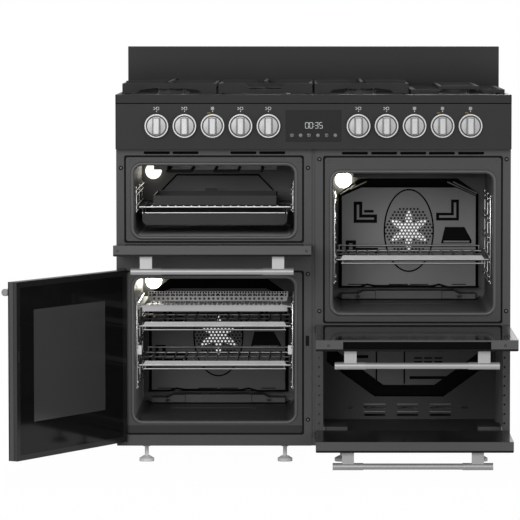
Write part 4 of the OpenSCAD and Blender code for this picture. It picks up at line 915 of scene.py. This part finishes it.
starSpec = {
    "stars": {"mainStar": {"at": (252.0, 571.0), "body": "main_oven_fan"},
              "fanStar": {"at": (-252.0, 293.5), "body": "fan_oven_fan"}},
    "arms": 6, "tip": 63.0, "root": 24.0, "face": 412.0, "thick": 2.0,
}


def makeStar(name, at, body):  # lit arms of the fan wheel behind its cover, glowing as painted light
    fresh()
    bpy.ops.mesh.primitive_circle_add(vertices=2 * starSpec["arms"], radius=starSpec["tip"] * mm,
                                      fill_type="NGON")
    o = bpy.context.object
    middle = (at[0] * mm, starSpec["face"] * mm, at[1] * mm)
    o.rotation_euler = (math.pi / 2, 0, 0)
    o.location = middle
    settle(o, name)
    edit(o, "VERT")
    step = 360 / starSpec["arms"]

    def betweenArms(place, normal):
        angle = math.degrees(math.atan2(place.x - at[0], place.z - at[1])) % step
        return step / 3 < angle < step * 2 / 3

    pick(o, betweenArms, "VERT")
    shrink = starSpec["root"] / starSpec["tip"]
    bpy.ops.transform.resize(value=(shrink, 1, shrink), center_override=middle)
    bpy.ops.mesh.select_all(action="SELECT")
    bpy.ops.mesh.extrude_region_move(TRANSFORM_OT_translate={"value": (0, starSpec["thick"] * mm, 0)})
    bpy.ops.mesh.select_all(action="SELECT")
    bpy.ops.mesh.normals_make_consistent(inside=False)
    hold(o)
    return give(o, "shine", body, 0.4)


for starName, spec in starSpec["stars"].items():
    makeStar(starName, spec["at"], spec["body"])
print("fan stars made")

ventSpec = {  # shallow black troughs behind the rows of vents, as painted shade seen through them
    "rows": {"leftVents": {"x": (-432, -72), "z": (786.5, 797.5)},
             "rightVents": {"x": (70, 434), "z": (785.5, 796.5)}},
    "y": (4.2, 8.0), "edge": 1.0, "deep": 2.4,
}
for ventName, spec in ventSpec["rows"].items():
    o = block(ventName, spec["x"], ventSpec["y"], spec["z"])
    insetFaces(o, toFront, ventSpec["edge"], shift=(0, ventSpec["deep"], 0))
    give(o, "black", "cabinet")

# painted shade: the slot on the main door's top edge is black inside
slotSpec = {"x": (71.8, 429.8), "y": (-25.8, -8.2), "z": (778.4, 780.0), "edge": 1.5, "deep": -0.6}
edgeSlot = block("doorEdgeSlot", slotSpec["x"], slotSpec["y"], slotSpec["z"])
insetFaces(edgeSlot, toTop, slotSpec["edge"], slotSpec["deep"])
give(swing(edgeSlot, "main_door"), "black", "main_door")

windowSpec = {"x": (-396, -79), "y": (-4.0, -3.75), "z": (149, 424), "edge": 0.6, "raised": 0.05}
window = block("fanDoorWindow", windowSpec["x"], windowSpec["y"], windowSpec["z"])
insetFaces(window, toBack, windowSpec["edge"], windowSpec["raised"])
give(swing(window, "fan_door"), "window", "fan_door")

screwSpec = {
    "places": [(-464.8, 0, 771.5), (-36.7, 0, 771.5), (-464.4, 0, 478.5), (-38.3, 0, 478.5),
               (39.5, 0, 769.5), (465.0, 0, 769.5)],
    "radius": 3.4, "profile": [(1.0, 0.0), (1.0, 0.5), (0.76, 1.2), (0.62, 0.7), (0.5, 1.0)],
}
screwProfile = [(screwSpec["radius"] * share, front) for share, front in screwSpec["profile"]]
screws = [turned("screw", place, screwProfile, 24) for place in screwSpec["places"]]
give(joined(screws, "cabinetScrews"), "rubber", "cabinet")
print("vents, window and screws made")

pressSpec = {  # pressed line round the grill oven's back, black as painted shade
    "points": [(-402, 676), (-362.5, 716.7), (-146, 716.7), (-106.6, 676)],
    "y": 445.0, "width": 3.8, "thick": 0.8,
}
give(path("grillPressing", pressSpec["points"], pressSpec["y"], pressSpec["width"], pressSpec["thick"]),
     "pressShade", "cabinet", 0.2)

# painted light: each reflector's finish is toned for how it is lit
reflectorSpec = {
    "grillReflector": {"x": (-417, -96), "y": (292, 300), "z": (736.5, 749.5), "finish": "litGrillReflector"},
    "mainReflector": {"x": (104, 424), "y": (292, 300), "z": (716.5, 725.5), "finish": "litMainReflector"},
}
for reflectorName, spec in reflectorSpec.items():
    o = block(reflectorName, spec["x"], spec["y"], spec["z"])
    insetFaces(o, toTop, 1.2, shift=(0, 0, 2.0))
    give(o, spec["finish"], "cabinet", 1.2)

ribSpec = {
    "lines": [[(71, 665), (112, 691)], [(75, 653), (123, 675)], [(97, 678), (141, 699)],
              [(355, 698), (430, 663)], [(370, 698), (434, 667)]],
    "y": 446.0, "width": 3.2, "thick": 1.5,
}
ribs = [bar("rib", a, b, ribSpec["y"], ribSpec["width"], ribSpec["thick"]) for a, b in ribSpec["lines"]]
give(joined(ribs, "chamberRibs"), "rib", "cabinet", 0.4)

clipSpec = {"places": [(-446.0, 286.8), (-58.0, 286.8)], "half": (7.2, 11.7), "y": (44, 50), "edge": 1.2,
            "raised": 0.8}
clips = []
for x, z in clipSpec["places"]:
    wide, high = clipSpec["half"]
    o = block("clip", (x - wide, x + wide), clipSpec["y"], (z - high, z + high))
    clips.append(insetFaces(o, toFront, clipSpec["edge"], clipSpec["raised"]))
give(joined(clips, "ladderClips"), "clip", "cabinet", 1.0)

stepSpec = {  # pressed lines at the back of the floors of the tall ovens, black as painted shade
    "ovens": {"fan": (-454.5, -49.5, 110.5), "main": (49.5, 454.5, 386.5)},  # walls and floor
    "depth": 413.9, "coverDepth": 405.7, "thick": 0.5, "waveThick": 0.6,
    "edge": [(26, 17), (70, 17), (84, 25)], "edgeWidth": 1.6,  # from both walls, and above the floor
    "foot": [(12, 9), (24, 1.6)], "footWidth": 3.4,
    "box": {"x": (88, 136), "z": (24, 3)}, "boxWidth": 1.3, "boxLift": 0.2,
    "wave": [(-186, 0), (-130, 0), (-110, 6), (-90, 2.5), (60, 1.5), (80, 6), (104, -1), (186, 0)],
    "waveFloor": 35.5, "waveWidth": 5.4,
}


def stepLines(x0, x1, floor):
    mid = (x0 + x1) / 2
    y, thick = stepSpec["depth"], stepSpec["thick"]
    parts = []
    for half, width in ((stepSpec["edge"], stepSpec["edgeWidth"]), (stepSpec["foot"], stepSpec["footWidth"])):
        line = [(x0 + dx, floor + dz) for dx, dz in half]
        line += [(x1 - dx, floor + dz) for dx, dz in reversed(half)]
        parts.append(path("stepLine", line, y, width, thick))
    top, bottom = [floor + dz for dz in stepSpec["box"]["z"]]
    for side in (-1, 1):
        inner, outer = [mid + side * dx for dx in stepSpec["box"]["x"]]
        corners = [(inner, top), (inner, bottom), (outer, bottom), (outer, top), (inner, top)]
        parts.append(path("stepLine", corners, y - stepSpec["boxLift"], stepSpec["boxWidth"], thick))
    low = floor + stepSpec["waveFloor"]
    wave = [(mid + dx, low + dz) for dx, dz in stepSpec["wave"]]
    parts.append(path("stepLine", wave, stepSpec["coverDepth"], stepSpec["waveWidth"], stepSpec["waveThick"]))
    return parts


for ovenName, walls in stepSpec["ovens"].items():
    give(joined(stepLines(*walls), ovenName + "StepLines"), "pressShade", "cabinet")

troughSpec = {"places": [((-366, -136), 200, 581.0), ((-375, -151), 300, 110.5), ((123, 374), 273, 386.5)],
              "front": 2, "back": 4, "high": 0.8, "edge": 1.0, "raised": 0.5}  # places: x, y and floor
troughs = []
for span, y, floor in troughSpec["places"]:
    o = block("trough", span, (y - troughSpec["front"], y + troughSpec["back"]),
              (floor, floor + troughSpec["high"]))
    troughs.append(insetFaces(o, toTop, troughSpec["edge"], troughSpec["raised"]))
give(joined(troughs, "floorPressings"), "trough", "cabinet", 0.4)

lipSpec = {"middle": 249.25, "pitch": 87, "half": 28, "first": 90.6, "rise": 20, "z": (-0.6, 0.9),
           "y": (395.6, 398.6), "edge": 0.3, "raised": 0.2}  # upper lips of the storage's louvres, pale as painted highlights
lips = []
for i in (-1, 0, 1):
    for k in (0, 1):
        x, half = lipSpec["middle"] + i * lipSpec["pitch"], lipSpec["half"]
        z = lipSpec["first"] + k * lipSpec["rise"]
        o = block("lip", (x - half, x + half), lipSpec["y"], [z + dz for dz in lipSpec["z"]])
        lips.append(insetFaces(o, toFront, lipSpec["edge"], lipSpec["raised"]))
give(joined(lips, "louvreLips"), "lip", "cabinet", 0.3)

ladderSpec = {  # wires that close the ladders at the front: walls, lowest rung, pairs and pitch
    "ladders": [(-454.5, -49.5, 192.5, 5, 50), (49.5, 454.5, 462.0, 5, 50)],
    "wall": 4.0, "rung": 6.5, "front": 40.0, "radius": 1.5, "pair": 12.5,
}
wires = []
for low, high, floor, pairs, pitch in ladderSpec["ladders"]:
    for wall, inward in ((low, 1), (high, -1)):
        x, end = wall + inward * ladderSpec["wall"], wall + inward * ladderSpec["rung"]
        y, radius = ladderSpec["front"], ladderSpec["radius"]
        levels = [floor + i * pitch + k * ladderSpec["pair"] for i in range(pairs) for k in (0, 1)]
        wires.append(rod("wire", (x, y, levels[0]), (x, y, levels[-1]), radius))
        wires += [rod("wire", (x, y, z), (end, y, z), radius) for z in levels]
give(joined(wires, "ladderFronts"), "ladder", "cabinet", 0.4)
print("oven linings and ladders made")

# The camera, the lamps and the floor are in metres.

cameraSpec = {"place": (0.0, -9.530, 1.1528), "down": 3.8, "lens": 260.6, "shiftX": -0.1029, "far": 100.0}
lightSpec = {
    "front": {"place": (-1.6, -7.5, 2.4), "size": 3.2, "power": 300.0, "aim": (0, 0, 0.5)},
    "frontRight": {"place": (3.2, -6.0, 1.8), "size": 3.0, "power": 90.0, "aim": (0, 0, 0.5)},
    "top": {"place": (-0.5, -0.5, 4.6), "size": 3.2, "power": 40.0, "aim": (0, 0.2, 0.5)},
    "back": {"place": (1.5, 5.5, 3.2), "size": 3.0, "power": 150.0, "aim": (0, 0, 0.5)},
}
stageSpec = {"floor": 40.0, "under": -0.0005, "tone": 0.82, "ambient": 0.38,
             "nearWhite": 0.985, "nearRadius": 0.8, "fade": 1.5}


def makeCamera():
    data = bpy.data.cameras.new("photoCamera")
    data.lens = cameraSpec["lens"]
    data.shift_x = cameraSpec["shiftX"]
    data.clip_end = cameraSpec["far"]
    camera = bpy.data.objects.new("photoCamera", data)
    scene.collection.objects.link(camera)
    camera.location = cameraSpec["place"]
    camera.rotation_euler = (math.radians(90 - cameraSpec["down"]), 0, 0)
    scene.camera = camera


def makeLight(name, place, size, power, aim):
    data = bpy.data.lights.new(name, "AREA")
    data.shape = "DISK"
    data.size = size
    data.energy = power
    lamp = bpy.data.objects.new(name, data)
    scene.collection.objects.link(lamp)
    lamp.location = place
    lamp.rotation_euler = (Vector(aim) - Vector(place)).to_track_quat("-Z", "Y").to_euler()


def makeWorld():  # even light on the object, white where it is seen
    scene.world = bpy.data.worlds.new("studio")
    f = Finish("studio", scene.world, "Background")
    f.give(Color=grey(stageSpec["ambient"]))
    white = f.node("Background", {}, {"Color": grey(1.0)})
    f.giveWay(f.seenDirectly(), white, "World Output")


def makeFloor():  # pale floor that turns white away from the object
    fresh()
    bpy.ops.mesh.primitive_plane_add(size=stageSpec["floor"], location=(0, 0, stageSpec["under"]))
    floor = bpy.context.object
    floor.name = "studioFloor"
    f = Finish("floorWhite")
    f.give(BaseColor=grey(stageSpec["tone"]), Roughness=0.9, SpecularLevel=0.0)
    x, y, z = f.axes()
    away = (((x * x + y * y).root() - stageSpec["nearRadius"]) / stageSpec["fade"]).clamped()
    white = away * (1.0 - stageSpec["nearWhite"]) + stageSpec["nearWhite"]
    glow = f.node("Emission", {}, {"Color": grey(1.0)})
    f.giveWay(white * f.seenDirectly(), glow, "Material Output")
    floor.data.materials.append(f.material)


makeCamera()
for lightName, spec in lightSpec.items():
    makeLight(lightName, **spec)
makeWorld()
makeFloor()
print("camera, lights and floor placed")
